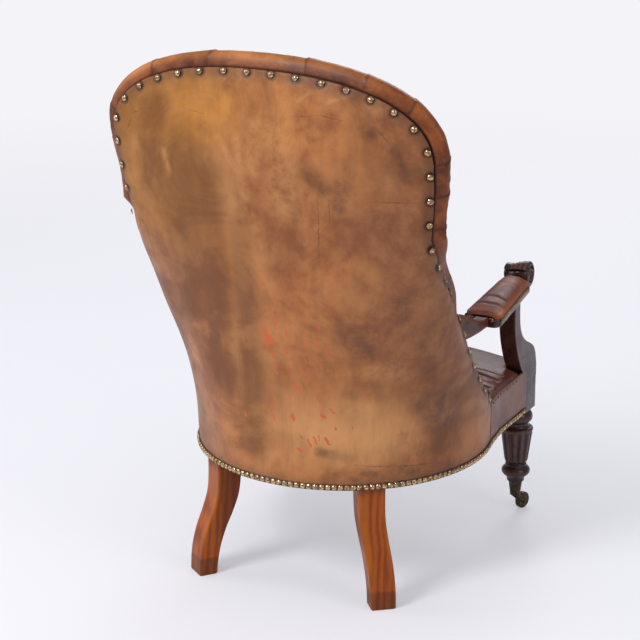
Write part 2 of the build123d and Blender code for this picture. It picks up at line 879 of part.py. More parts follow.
def arm_pad():
    """Crowned pad that lies on the arm board, lower at its rear end."""
    pad_front_y = scroll_y + scroll_radius + pad_margin
    rear_y = arm_rear_y - pad_margin
    sections = []
    for t, crown_share in pad_crown_shares:
        y = rear_y + (pad_front_y - rear_y) * t
        along = (arm_rear_y - y) / (arm_rear_y - arm_front_y)
        inner = arm_rear_inner + (arm_front_inner - arm_rear_inner) * along + pad_margin
        outer = arm_rear_outer + (arm_front_outer - arm_rear_outer) * along - pad_margin
        low = arm_bottom(y) + arm_thickness + soft_gap
        plane = Plane(origin=(0, y, low), x_dir=(1, 0, 0), z_dir=(0, -1, 0))
        outline = Polyline((inner, pad_wall), (inner, 0), (outer, 0), (outer, pad_wall))
        crown = pad_crown * crown_share
        outline += ThreePointArc((outer, pad_wall), ((inner + outer) / 2, crown), (inner, pad_wall))
        sections.append(plane * make_face(outline))
    return loft(sections)


parts["arm_pad_left"] = arm_pad()

joint_dowels = [
    dowel(dowel_radius, support_x, leg_dowel_y, block_top, dowel_length - dowel_end_gap),
    dowel(dowel_radius, support_x, arm_dowel_y, arm_at_dowel, arm_dowel_length - dowel_end_gap),
]
joint_dowels += [mirror(pin, Plane.YZ) for pin in joint_dowels]
parts["arm_dowels"] = Compound(children=joint_dowels)


# Seat upholstery

hessian_low = rail_top + soft_gap
pad_half = seat_half_width - pad_side_depth


def seat_plan(inset):
    """Plan of the seat inside the back pad, wider between the hide and the arm supports."""
    side = front_half_width - leather - fitting_gap - inset
    between = front_half_width - support_thickness - fitting_gap - inset
    behind = pad_half - seat_pad_gap - inset
    front = -front_reach + leather + fitting_gap + inset
    half = [(between, front), (between, support_step_y + inset), (side, support_step_y + inset),
            (side, step_y - inset), (behind, step_y - inset), (behind, seat_curve_y)]
    rear = rear_reach - pad_back_depth - inset
    left = Polyline(*half)
    right = Polyline(*[(-x, y) for x, y in half])
    arc = EllipticalCenterArc((0, seat_curve_y), behind, rear - seat_curve_y, 0, arc_size=180)
    return make_face(left + arc + right + Line((-between, front), (between, front)))


def crowned(plan, low, top, radius):
    """Seat layer over its plan, its top a wide shallow dome."""
    column = Pos(0, 0, low) * extrude(plan, top - low)
    return column & (Pos(0, seat_crown_y, top - radius) * Sphere(radius))


stuffing_low = hessian_low + cloth + soft_gap
stuffing_top = seat_top - cover_thickness - soft_gap
stuffing = crowned(seat_plan(cover_thickness), stuffing_low, stuffing_top, seat_crown_radius)
cover = crowned(seat_plan(0), stuffing_low, seat_top, seat_crown_radius + cover_thickness)
hollow = crowned(seat_plan(cover_thickness - soft_gap), stuffing_low - cloth, stuffing_top + soft_gap,
                 seat_crown_radius)
parts["seat_stuffing"] = stuffing
parts["seat_cover"] = cover - hollow


def rear_sheet(inset, low, high):
    """Flat layer inside the rear of the seat, behind the side seams."""
    plan = outer_bow(low, inset, -rail_thickness)
    plan = make_face(Spline(plan) + Line(plan[-1], plan[0]))
    return Pos(0, 0, low) * extrude(plan, high - low) & slab(low, high, front=side_seam_y)


rear_plan = rear_sheet(leather + 2 * fitting_gap, hessian_low, hessian_low + cloth)
front_plan = make_face(Polyline(
    (side_seam_half_width - rail_out, side_seam_y), (front_half_width - rail_out, side_kink_y),
    (front_half_width - rail_out, support_step_y), (inner_x - fitting_gap, support_step_y),
    (inner_x - fitting_gap, -front_reach + rail_out), (-inner_x + fitting_gap, -front_reach + rail_out),
    (-inner_x + fitting_gap, support_step_y), (-front_half_width + rail_out, support_step_y),
    (-front_half_width + rail_out, side_kink_y), (-side_seam_half_width + rail_out, side_seam_y),
    close=True))
front_sheet = Pos(0, 0, hessian_low) * extrude(front_plan, cloth)
parts["seat_hessian"] = rear_plan + front_sheet

frame_plan_rear = rear_sheet(bottom_cloth_inset, hide_bottom, rail_top)
half_plan = side_line(bottom_cloth_inset)
half_plan += [(inner_x - fitting_gap, inner_y), (inner_x - fitting_gap, -front_reach + rail_out)]
front_plan = make_face(Polyline(*half_plan, *[(-x, y) for x, y in reversed(half_plan)], close=True))
frame_plan_front = Pos(0, 0, hide_bottom) * extrude(front_plan, rail_height)
frame_plan = frame_plan_rear + frame_plan_front

web_top = rail_bottom - soft_gap
cross_webs = Part()
for i in range(seat_web_cross_count):
    y = seat_web_first_y + i * seat_web_pitch
    cross_webs += slab(web_top - cloth, web_top, y + web_width / 2, y - web_width / 2)
long_webs = Part()
for i in range(seat_web_long_count):
    x = (i - (seat_web_long_count - 1) / 2) * seat_web_pitch
    low = web_top - 2 * cloth - soft_gap
    long_webs += Pos(x, 0, low + cloth / 2) * Box(web_width, 2 * overrun, cloth)
seat_strips = [*(cross_webs & frame_plan).solids(), *(long_webs & frame_plan).solids()]
parts["seat_webbing"] = Compound(children=seat_strips)

cloth_top = web_top - 2 * cloth - 2 * soft_gap
around_leg = Box(rear_width + 4 * fitting_gap, rear_depth + 4 * fitting_gap, rail_height)
leg_clearance = Pos(rear_face_x, rear_face_y, rail_bottom) * Rot(0, 0, -rear_turn)
leg_clearance = leg_clearance * Pos(0, -rear_depth / 2) * around_leg
bottom_sheet = frame_plan & slab(cloth_top - cloth / 2, cloth_top)
parts["bottom_cloth"] = bottom_sheet - leg_clearance - mirror(leg_clearance, Plane.YZ)

spring_low = web_top + soft_gap + spring_wire
spring_height = hessian_low - soft_gap - spring_wire - spring_low
coils = []
for i in range(spring_rows):
    for j in range(spring_rows):
        path = Helix(spring_height / spring_turns, spring_height, spring_radius)
        profile = Plane(origin=path @ 0, z_dir=path % 0) * Circle(spring_wire)
        coil = sweep(profile, path=path, is_frenet=True)
        x = (i - (spring_rows - 1) / 2) * seat_web_pitch
        coils.append(Pos(x, spring_first_y + j * seat_web_pitch, spring_low) * coil)
parts["seat_springs"] = Compound(children=coils)

parts["seat_border_left"] = side_piece(0, leather, border_bottom, border_top, rear=border_rear_gap) - notch
front_border = Pos(0, -front_reach + leather / 2, (border_bottom + border_top) / 2)
parts["seat_border_front"] = front_border * Box(
    front_rail_width - 2 * fitting_gap, leather, border_top - border_bottom)


# Castors

def castor_cup():
    """Tapered brass cup on the leg's stub, bored for the pivot."""
    outer = make_face(Polyline((0, cup_bottom), (cup_bottom_radius, cup_bottom), (cup_top_radius, cup_top),
                               (0, cup_top), close=True))
    body = revolve(Plane.XZ * outer, Axis.Z)
    flare = (stub_top_radius - stub_bottom_radius) / (cup_top - stub_bottom)
    lip_radius = stub_top_radius + flare * cup_floor
    hollow_face = make_face(Polyline((0, stub_bottom), (stub_bottom_radius, stub_bottom),
                                     (lip_radius, cup_top + cup_floor), (0, cup_top + cup_floor), close=True))
    body -= revolve(Plane.XZ * hollow_face, Axis.Z)
    return body - Pos(0, 0, cup_bottom) * Cylinder(pivot_radius + running_clearance, 4 * cup_floor)


def castor_horn():
    """Forked horn under the cup: plate, pivot and two cheeks that run down to the axle."""
    inner = wheel_width / 2 + cheek_gap
    plate_low = horn_top - horn_plate_thickness
    reach = castor_trail
    root = plate_low + cheek_lap
    shoulder = (reach + boss_radius - cheek_lap, wheel_radius + cheek_shoulder)
    heel = (reach - boss_radius, wheel_radius - cheek_lap)
    profile = make_face(Polyline((-cheek_half_width, root), (cheek_half_width, root), shoulder,
                                 (reach, wheel_radius - boss_radius), heel, close=True))
    profile += Pos(reach, wheel_radius) * Circle(boss_radius)
    cheek = extrude(Plane.XZ * profile, cheek_thickness)
    plate = Pos(0, 0, horn_top - horn_plate_thickness / 2) * Cylinder(horn_plate_radius, horn_plate_thickness)
    pivot = Pos(0, 0, horn_top + pivot_length / 2) * Cylinder(pivot_radius, pivot_length)
    horn = plate + pivot
    for low in (inner + cheek_thickness, -inner):
        horn += Pos(0, low, 0) * cheek
    bore = Pos(reach, 0, wheel_radius) * Rot(90, 0, 0) * Cylinder(axle_radius, 4 * wheel_width)
    return horn - bore


def castor_wheel():
    """Solid brass wheel with rounded tread corners and a bore for the axle."""
    wheel = chamfer(Cylinder(wheel_radius, wheel_width).edges(), wheel_tread)
    wheel -= Cylinder(axle_radius + running_clearance, 2 * wheel_width)
    return Pos(castor_trail, 0, wheel_radius) * Rot(90, 0, 0) * wheel


axle_length = wheel_width + 2 * (cheek_gap + cheek_thickness + axle_end)
axle = Pos(castor_trail, 0, wheel_radius) * Rot(90, 0, 0) * Cylinder(axle_radius, axle_length)
castor_place = Pos(leg_x, leg_y, 0) * Rot(0, 0, -90 + castor_turn)
parts["castor_cup_left"] = Pos(leg_x, leg_y, 0) * castor_cup()
parts["castor_horn_left"] = castor_place * castor_horn()
parts["castor_axle_left"] = castor_place * axle
parts["castor_wheel_left"] = castor_place * castor_wheel()


# Nails and trim band

def dome(radius, height):
    """Domed nail head with a flat seat."""
    ball = (radius**2 + height**2) / (2 * height)
    above = Pos(0, 0, height) * Box(3 * radius, 3 * radius, 2 * height)
    return (Pos(0, 0, height - ball) * Sphere(ball)) & above


def nails_on(places, head):
    """Copies of one nail head on a list of planes."""
    return Compound(children=[plane * head for plane in places])


def spaced(points, pitch):
    """Evenly spaced places along a run of points, with the direction of travel."""
    lengths = [0.0]
    for a, b in zip(points, points[1:]):
        lengths.append(lengths[-1] + (b - a).length)
    count = int(lengths[-1] / pitch)
    found = []
    for i in range(count + 1):
        want = lengths[-1] * i / count
        j = max(k for k in range(len(lengths) - 1) if lengths[k] <= want)
        t = (want - lengths[j]) / (lengths[j + 1] - lengths[j])
        found.append(points[j] + (points[j + 1] - points[j]) * t)
    return found


nail_shares = stations(edge_nail_first, 1 - edge_nail_first, edge_nail_steps)
edge_run = [seam_at(share) for share in nail_shares]
edge_places = []
for point in spaced(edge_run, edge_nail_pitch):
    near = min(range(edge_nail_steps), key=lambda i: (edge_run[i] - point).length)
    frame = seam_frame(nail_shares[near])
    seat = frame.origin - frame.x_dir * edge_nail_inset
    normal = form_normal(seat)
    edge_places.append(Plane(origin=seat + normal * edge_nail_gap, z_dir=normal))
parts["edge_nails"] = nails_on(edge_places, dome(nail_radius, nail_height))

band_out = trim_gap + trim_band_thickness


def trim_run(out):
    """Plan of the bottom trim, from the left front leg round the back to the right one."""
    half_width, half_depth, centre = form_row(trim_nail_z)
    start = math.atan2((side_seam_y - centre) / half_depth, side_seam_half_width / half_width)
    side = [(front_half_width + out, inner_y), (front_half_width + out, side_kink_y)]
    rear = []
    for i in range(trim_steps + 1):
        angle = start + (math.pi - 2 * start) * i / trim_steps
        rear.append(((half_width + out) * math.cos(angle), centre + (half_depth + out) * math.sin(angle)))
    return side + rear + [(-x, y) for x, y in reversed(side)]


def trim_band():
    """Thin leather band along the bottom edge, under the close nails."""
    outer, inner = trim_run(band_out), trim_run(trim_gap)
    band = make_face(Polyline(outer[0], outer[1], outer[2]) + Spline(outer[2:-2])
                     + Polyline(outer[-3], outer[-2], outer[-1], inner[-1], inner[-2], inner[-3])
                     + Spline(inner[2:-2]) + Polyline(inner[2], inner[1], inner[0], outer[0]))
    return Pos(0, 0, trim_low) * extrude(band, trim_band_height)


parts["trim_band"] = trim_band()
trim_points = [Vector(x, y, trim_nail_z) for x, y in trim_run(band_out + soft_gap)]
trim_spots = spaced(trim_points, trim_nail_pitch)
trim_places = []
for before, point, after in zip(trim_spots, trim_spots[1:], trim_spots[2:]):
    along = (after - before).normalized()
    trim_places.append(Plane(origin=point, z_dir=Vector(along.Y, -along.X, 0)))
parts["trim_nails"] = nails_on(trim_places, dome(nail_radius * trim_nail_share, nail_height))

small_places = []
edge_z = border_top - small_nail_drop
for i in range(int((step_y - support_step_y) / small_nail_pitch)):
    y = support_step_y + small_nail_pitch * (i + 0.5)
    lean = -side_slope if y > side_kink_y else 0
    proud = small_nail_gap * math.hypot(1, lean)
    x = front_half_width + side_slope * max(y - side_kink_y, 0) + proud
    small_places.append(Plane(origin=(x, y, edge_z), z_dir=(1, lean, 0)))
    small_places.append(Plane(origin=(-x, y, edge_z), z_dir=(-1, lean, 0)))
parts["seat_edge_nails"] = nails_on(small_places, dome(small_nail_radius, small_nail_height))

arm_places = []
pad_front_y = scroll_y + scroll_radius + pad_margin
rear_y = arm_rear_y - pad_margin
length = rear_y - pad_front_y
inner_slope = (arm_rear_inner - arm_front_inner) / (arm_rear_y - arm_front_y)
outer_slope = (arm_rear_outer - arm_front_outer) / (arm_rear_y - arm_front_y)
for edge, sign, slope in ((0, -1, inner_slope), (1, 1, outer_slope)):
    for i in range(int(length / arm_nail_pitch)):
        y = rear_y - arm_nail_pitch * (i + arm_nail_first)
        along = (arm_rear_y - y) / (arm_rear_y - arm_front_y)
        inner = arm_rear_inner + (arm_front_inner - arm_rear_inner) * along
        outer = arm_rear_outer + (arm_front_outer - arm_rear_outer) * along
        x = (outer if edge else inner) + sign * arm_nail_gap
        z = arm_bottom(y) + arm_thickness - arm_nail_radius
        arm_places.append(Plane(origin=(x, y, z), z_dir=(sign, -sign * slope, 0)))
for i in range(int((arm_rear_outer - arm_rear_inner - 2 * arm_corner) / arm_nail_pitch) + 1):
    x = arm_rear_inner + arm_corner + arm_nail_pitch * i
    if not neck_inner - arm_nail_radius < x < neck_outer + arm_nail_radius:
        z = arm_low + arm_thickness - arm_nail_radius
        arm_places.append(Plane(origin=(x, arm_rear_y + soft_gap, z), z_dir=(0, 1, 0)))
parts["arm_nails_left"] = nails_on(arm_places, dome(arm_nail_radius, arm_nail_height))


# Right-hand copies, origin and files

for name in list(parts):
    if name.endswith("_left") and name[:-5] + "_right" not in parts:
        parts[name[:-5] + "_right"] = mirror(parts[name], Plane.YZ)

whole = Compound(children=[Compound(children=list(piece.solids())) for piece in parts.values()])
box = whole.bounding_box()
to_origin = Pos(-(box.min.X + box.max.X) / 2, -(box.min.Y + box.max.Y) / 2, -box.min.Z)
os.makedirs("parts", exist_ok=True)
for name, piece in parts.items():
    solids = [to_origin * solid for solid in piece.solids()]
    export_step(solids[0] if len(solids) == 1 else Compound(children=solids), f"parts/{name}.step")
print("origin shift", to_origin.position, "size", box.size)
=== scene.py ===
import math

import bpy
import numpy as np
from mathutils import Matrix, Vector


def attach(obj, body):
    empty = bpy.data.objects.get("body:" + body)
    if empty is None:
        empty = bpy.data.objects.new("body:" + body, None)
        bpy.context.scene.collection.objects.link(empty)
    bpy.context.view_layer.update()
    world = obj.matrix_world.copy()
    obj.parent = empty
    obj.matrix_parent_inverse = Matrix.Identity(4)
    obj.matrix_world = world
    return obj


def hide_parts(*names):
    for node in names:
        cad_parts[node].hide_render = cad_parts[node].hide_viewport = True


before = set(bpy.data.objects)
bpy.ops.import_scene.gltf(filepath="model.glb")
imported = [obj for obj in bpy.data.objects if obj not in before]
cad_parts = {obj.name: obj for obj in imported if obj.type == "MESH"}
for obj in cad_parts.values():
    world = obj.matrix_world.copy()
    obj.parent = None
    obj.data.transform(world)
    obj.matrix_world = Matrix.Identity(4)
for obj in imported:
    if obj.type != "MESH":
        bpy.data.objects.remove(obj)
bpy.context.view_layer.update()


# Outside hide
# One tan hide, strained from the seat rail up to the seam round the back, where its edge is held by
# open dome nails. It has worn to ochre and brown, with scuffs down to the red of the first finish.
# Light and shade are also painted on it: highlights high on the left and down the middle, and shade on
# the right, in creases, along the seam and round each nail.

DATUM_Y = -6.154          # the shapes are worked out in mm from the seat's datum line, as the solids are
HIDE_BOTTOM = 232.0
BACK_RISE = 799.0
SEAT_HALF_WIDTH, SEAT_HALF_DEPTH, REAR_REACH = 286.0, 290.0, 283.0
SEAM_FOOT_Z, JOIN_Z, ARCH_Z = 315.0, 744.0, 884.0
SEAM_HALF_WIDTH, JOIN_HALF_WIDTH = 317.0, 303.0
ARCH_RISE, ARCH_POWER = 147.0, 2.25
NAIL_PITCH, NAIL_INSET = 47.0, 6.0
NAIL_FIRST, NAIL_LAST = 0.012, 0.988

# Share of the rise, then the half width, half depth and rear reach as shares of those at the seat
FORM = np.array([
    (0.000, 1.000, 1.000, 1.000), (0.113, 1.007, 0.990, 1.021), (0.210, 1.012, 0.869, 1.041),
    (0.285, 1.021, 0.731, 1.064), (0.373, 1.042, 0.566, 1.102), (0.461, 1.059, 0.441, 1.141),
    (0.523, 1.063, 0.345, 1.173), (0.586, 1.063, 0.266, 1.201), (0.641, 1.073, 0.241, 1.226),
    (0.711, 1.147, 0.283, 1.261), (0.773, 1.280, 0.383, 1.290), (0.824, 1.416, 0.483, 1.309),
    (0.886, 1.538, 0.545, 1.302), (0.961, 1.580, 0.572, 1.272), (1.036, 1.590, 0.579, 1.219)])
# Share of the rise, then how far back the seam is, as a share of the rear reach
SEAM = np.array([
    (0.0000, -0.283), (0.0600, -0.283), (0.1126, -0.283), (0.1564, -0.152), (0.1960, -0.041),
    (0.2365, 0.081), (0.2816, 0.177), (0.3273, 0.269), (0.3755, 0.359), (0.4205, 0.450),
    (0.4618, 0.560), (0.5219, 0.738), (0.5820, 0.905), (0.6408, 1.020)])


def smooth(x, xs, ys):
    """Cubic pieces through a table; the slope at each row is that between its two neighbours."""
    xs, ys = np.asarray(xs, float), np.asarray(ys, float)
    low = np.maximum(np.arange(len(xs)) - 1, 0)
    high = np.minimum(np.arange(len(xs)) + 1, len(xs) - 1)
    slope = (ys[high] - ys[low]) / (xs[high] - xs[low])
    i = np.clip(np.searchsorted(xs, x) - 1, 0, len(xs) - 2)
    span = xs[i + 1] - xs[i]
    t = (x - xs[i]) / span
    return ((2 * t**3 - 3 * t**2 + 1) * ys[i] + (t**3 - 2 * t**2 + t) * span * slope[i]
            + (3 * t**2 - 2 * t**3) * ys[i + 1] + (t**3 - t**2) * span * slope[i + 1])


def ease(x, low, high):
    """0 below low, 1 above high, and an even S between them."""
    t = np.clip((x - low) / (high - low), 0, 1)
    return t * t * (3 - 2 * t)


def hump(x, width):
    """1 where x is 0, falling away evenly on both sides over about one width."""
    return np.exp(-(x / width) ** 2)


def cloud(x, y, seed):
    """Soft random relief from -1 to 1: values of a seeded lattice, eased between its points."""
    lattice = np.random.default_rng(seed).uniform(-1, 1, (64, 64))
    column, row = np.floor(x).astype(int), np.floor(y).astype(int)
    a, b = ease(x - column, 0, 1), ease(y - row, 0, 1)
    near = lattice[row % 64, column % 64] * (1 - a) + lattice[row % 64, (column + 1) % 64] * a
    row = row + 1
    far = lattice[row % 64, column % 64] * (1 - a) + lattice[row % 64, (column + 1) % 64] * a
    return near * (1 - b) + far * b


def points_of(x, y, z):
    """Grid of points from x, y and z, each spread over the rows and columns of the others."""
    return np.stack(np.broadcast_arrays(x, y, z), -1)


def running_length(line):
    """Length along a line of points, from its start to each point."""
    return np.concatenate([[0], np.cumsum(np.linalg.norm(np.diff(line, axis=0), axis=1))])


def form(z):
    """Half width, half depth and centre y of the ellipse that is the back's outline at a height."""
    rise = (z - HIDE_BOTTOM) / BACK_RISE
    half_depth = SEAT_HALF_DEPTH * smooth(rise, FORM[:, 0], FORM[:, 2])
    return (SEAT_HALF_WIDTH * smooth(rise, FORM[:, 0], FORM[:, 1]), half_depth,
            REAR_REACH * smooth(rise, FORM[:, 0], FORM[:, 3]) - half_depth)


def on_form(angle, z, depth=0.0):
    """Point at an angle round the ellipse of a height, moved in by a depth square to the ellipse."""
    half_width, half_depth, centre = form(z)
    across, along = np.cos(angle) / half_width, np.sin(angle) / half_depth
    length = np.hypot(across, along)
    return points_of(half_width * np.cos(angle) - depth * across / length,
                     centre + half_depth * np.sin(angle) - depth * along / length, z)


def seam_side_y(z):
    """How far back the seam lies at a height, below the join."""
    return REAR_REACH * smooth((z - HIDE_BOTTOM) / BACK_RISE, SEAM[:, 0], SEAM[:, 1])


def edge_angle(z):
    """Angle round the ellipse at which the seam lies, at a height."""
    half_width, half_depth, centre = form(z)
    t = np.clip((z - JOIN_Z) / (ARCH_Z - JOIN_Z), 0, 1)
    shoulder = JOIN_HALF_WIDTH + (SEAM_HALF_WIDTH - JOIN_HALF_WIDTH) * t * (2 - t)
    low = np.arcsin(np.clip((seam_side_y(np.minimum(z, JOIN_Z)) - centre) / half_depth, -1, 1))
    return np.where(z < JOIN_Z, low, np.arccos(np.clip(shoulder / half_width, -1, 1)))


def arch(turn):
    """x and z of the seam over the top, a superellipse, at an angle from the side."""
    power = 2 / ARCH_POWER
    return (SEAM_HALF_WIDTH * np.clip(np.cos(turn), 0, 1) ** power,
            ARCH_Z + ARCH_RISE * np.clip(np.sin(turn), 0, 1) ** power)


# The seam as one line of points from the left foot over the top to the right foot
side_z = np.linspace(SEAM_FOOT_Z, ARCH_Z, 120)
arch_x, arch_z = arch(np.linspace(0, math.pi / 2, 90)[1:])
half_seam = np.concatenate([
    on_form(edge_angle(side_z), side_z),
    on_form(np.arccos(arch_x / form(arch_z)[0]), arch_z)])
seam_line = np.concatenate([half_seam, half_seam[-2::-1] * (-1, 1, 1)])
seam_lengths = running_length(seam_line)
SEAM_LENGTH = seam_lengths[-1]


def seam(share):
    """Point of the seam at a share of its length."""
    want = np.clip(share, 0, 1) * SEAM_LENGTH
    return np.stack([np.interp(want, seam_lengths, seam_line[:, i]) for i in range(3)], -1)


def unit(vectors):
    """Vectors brought to a length of 1."""
    return vectors / np.linalg.norm(vectors, axis=-1, keepdims=True)


SEAM_STEP = 0.008       # share of the seam over which its run is measured; its two feet stand upright


def seam_frame(share):
    """Point of the seam, then outward in the hide, inward through the back, and along the seam."""
    point = seam(share)
    along = seam(share + SEAM_STEP) - seam(share - SEAM_STEP)
    upright = np.where(share <= SEAM_STEP, 1, 0) - np.where(share >= 1 - SEAM_STEP, 1, 0)
    along = unit(np.where(upright[:, None] != 0, upright[:, None] * np.array([0, 0, 1.0]), along))

    def level(z):
        half_width, half_depth, centre = form(z)
        return (point[:, 0] / half_width) ** 2 + ((point[:, 1] - centre) / half_depth) ** 2

    half_width, half_depth, centre = form(point[:, 2])
    inward = -unit(points_of(2 * point[:, 0] / half_width**2, 2 * (point[:, 1] - centre) / half_depth**2,
                             level(point[:, 2] + 0.5) - level(point[:, 2] - 0.5)))
    inward = unit(inward - along * np.sum(inward * along, -1, keepdims=True))
    return point, np.cross(along, inward), inward, along


def face_normals(grid):
    """Unit normals of a grid of points, square to its rows and columns."""
    return unit(np.cross(np.gradient(grid, axis=1), np.gradient(grid, axis=0)) + 1e-12)


def surface(name, grid, wrap=False, capped=False, facing=None, **attributes):
    """Piece from a grid of points in mm: quads between neighbouring rows and columns.

    wrap joins the last column to the first, and capped closes the first and last rows with fans.
    Faces point outwards: away from the middle of a closed piece, or along facing on an open one."""
    rows, columns = grid.shape[:2]
    points = grid.reshape(-1, 3)
    index = np.arange(rows * columns).reshape(rows, columns)
    if wrap:
        index = np.concatenate([index, index[:, :1]], 1)
    quads = np.stack([index[:-1, :-1], index[:-1, 1:], index[1:, 1:], index[1:, :-1]], -1).reshape(-1, 4)
    faces = quads.tolist()
    if capped:
        points = np.concatenate([points, grid[0].mean(0)[None], grid[-1].mean(0)[None]])
        ring = index if wrap else np.concatenate([index, index[:, :1]], 1)
        first, last = len(points) - 2, len(points) - 1
        faces += [[first, b, a] for a, b in zip(ring[0, :-1].tolist(), ring[0, 1:].tolist())]
        faces += [[last, a, b] for a, b in zip(ring[-1, :-1].tolist(), ring[-1, 1:].tolist())]
    corners = points[quads]
    square = np.cross(corners[:, 2] - corners[:, 0], corners[:, 3] - corners[:, 1])
    outward = corners.mean(1) - points.mean(0) if facing is None else np.array(facing, float)
    if np.sum(square * outward) < 0:
        faces = [face[::-1] for face in faces]
    mesh = bpy.data.meshes.new(name)
    mesh.from_pydata(((points + (0, DATUM_Y, 0)) * 0.001).tolist(), [], faces)
    mesh.polygons.foreach_set("use_smooth", [True] * len(mesh.polygons))
    for key, values in attributes.items():
        spare = len(points) - rows * columns
        values = np.append(np.broadcast_to(values, (rows, columns)), np.zeros(spare))
        mesh.attributes.new(key, "FLOAT", "POINT").data.foreach_set("value", values.astype(np.float32))
    piece = bpy.data.objects.new(name, mesh)
    bpy.context.scene.collection.objects.link(piece)
    return piece


def fit(piece, material, slot, *nodes):
    """Gives a piece of the chair its finish, fixes it to the chair, and hides the CAD nodes that it stands
    for.
    """
    piece.data.materials.append(material)
    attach(piece, "chair")
    if nodes:
        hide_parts(*nodes)
    return piece


def thicken(piece, wall):
    """Gives an open surface a wall, in metres, on its inner side."""
    thick = piece.modifiers.new("thickness", "SOLIDIFY")
    thick.thickness, thick.offset = wall, -1


class Finish:
    """A material in the making: a ground colour, with tints laid over it one after another."""

    def __init__(self, name, ground):
        self.colour = ground
        self.material = bpy.data.materials.new(name)
        self.material.use_nodes = True
        self.tree = self.material.node_tree
        self.shader = self.tree.nodes["Principled BSDF"]
        self.place = self.node("ShaderNodeTexCoord", {}, "Object")

    def node(self, kind, inputs, output=0, **settings):
        """Adds a node and gives the output that others read."""
        made = self.tree.nodes.new(kind)
        for key, value in settings.items():
            setattr(made, key, value)
        for key, value in inputs.items():
            if isinstance(value, bpy.types.NodeSocket):
                self.tree.links.new(value, made.inputs[key])
            else:
                made.inputs[key].default_value = value
        return made.outputs[output]

    def stretched(self, *scale):
        """Object place, in metres, times a scale on each axis."""
        return self.node("ShaderNodeMapping", {"Vector": self.place, "Scale": scale})

    def noise(self, scale, detail=4.0, rough=0.55, place=None, bend=0.0):
        return self.node("ShaderNodeTexNoise", {
            "Vector": place or self.place, "Scale": scale, "Detail": detail, "Roughness": rough,
            "Distortion": bend}, "Fac")

    def math(self, operation, a, b=0.0, c=0.0):
        return self.node("ShaderNodeMath", {0: a, 1: b, 2: c}, operation=operation)

    def times(self, first, *others):
        """Product of two or more values."""
        for other in others:
            first = self.math("MULTIPLY", first, other)
        return first

    def step(self, value, low, high, out_low=0.0, out_high=1.0):
        """An even S from out_low to out_high while the value goes from low to high."""
        return self.node("ShaderNodeMapRange", {"Value": value, "From Min": low, "From Max": high,
                                                "To Min": out_low, "To Max": out_high},
                         interpolation_type="SMOOTHSTEP")

    def tint(self, colour, *shares):
        """Lays a colour over what is there, by the product of its shares."""
        under = self.colour if isinstance(self.colour, bpy.types.NodeSocket) else (*self.colour, 1)
        values = {0: self.times(*shares), 6: under, 7: (*colour, 1)}
        self.colour = self.node("ShaderNodeMix", values, 2, data_type="RGBA")

    def attribute(self, name):
        return self.node("ShaderNodeAttribute", {}, "Fac", attribute_name=name)

    def split(self):
        """x, y and z of the place."""
        made = self.tree.nodes.new("ShaderNodeSeparateXYZ")
        self.tree.links.new(self.place, made.inputs[0])
        return made.outputs

    def bump(self, height, distance, strength=1.0, under=None):
        inputs = {"Height": height, "Distance": distance, "Strength": strength}
        if under is not None:
            inputs["Normal"] = under
        return self.node("ShaderNodeBump", inputs)

    def close(self, roughness, normal, **sockets):
        """Joins the outputs to the shader; plain numbers go on its own sockets."""
        for key, value in (("Base Color", self.colour), ("Roughness", roughness), ("Normal", normal)):
            if isinstance(value, bpy.types.NodeSocket):
                self.tree.links.new(value, self.shader.inputs[key])
            else:
                self.shader.inputs[key].default_value = (*value, 1) if key == "Base Color" else value
        for key, value in sockets.items():
            self.shader.inputs[key.replace("_", " ")].default_value = value
        return self.material


def leather_grain(finish, pebble=0.00016, under=None):
    """Fine pebbled grain: cells about a millimetre wide, over a softer unevenness."""
    cells = finish.node("ShaderNodeTexVoronoi", {"Vector": finish.place, "Scale": 900.0}, "Distance")
    soft = finish.bump(finish.noise(160.0, 3.0), 0.0005, 0.5, under)
    return finish.bump(cells, pebble, 0.6, soft)


# Marks as they lie on the hide: x and z of both ends, in mm, then half the width
# Scuffs
SCUFFS = [
    (-10, 567, -11, 547, 1.6), (13, 541, 10, 512, 5.0), (6, 527, 2, 522, 7.0),
    (-31, 544, -31, 534, 1.8), (23, 499, 21, 489, 1.2), (-1, 497, -1, 493, 2.2),
    (-26, 506, -29, 500, 2.2), (4, 477, -5, 474, 1.5), (-3, 461, -5, 455, 2.2),
    (-55, 469, -60, 460, 2.0), (-39, 436, -49, 428, 3.4), (-80, 416, -85, 406, 1.8),
    (-81, 505, -97, 461, 0.9), (-91, 569, -96, 549, 0.9), (-98, 524, -113, 490, 0.9),
    (-83, 533, -89, 529, 2.6), (-64, 523, -65, 517, 1.5), (-87, 381, -92, 377, 3.0),
    (-102, 395, -109, 387, 2.2), (-31, 376, -34, 368, 4.2), (9, 369, 5, 363, 2.4),
    (6, 415, 4, 396, 1.3), (71, 365, 69, 355, 1.8), (28, 387, 25, 383, 1.6), (-43, 337, -50, 330, 1.6),
    (-60, 330, -65, 316, 1.8), (-71, 335, -76, 319, 1.5), (-92, 335, -98, 323, 2.6),
    (-39, 309, -49, 305, 2.2), (-96, 241, -98, 238, 3.0), (-161, 430, -171, 407, 0.9),
    (73, 545, 72, 540, 1.2), (61, 520, 60, 507, 1.0), (35, 533, 33, 527, 1.0),
    (-32, 525, -31, 512, 1.3), (-63, 496, -65, 482, 1.2), (11, 387, 9, 380, 1.5),
    (-80, 340, -80, 330, 1.2), (-109, 357, -111, 351, 1.3), (-138, 360, -139, 354, 1.1)]
SCUFF_RAGGED = 0.0075       # how far, in metres, the outline of a mark strays
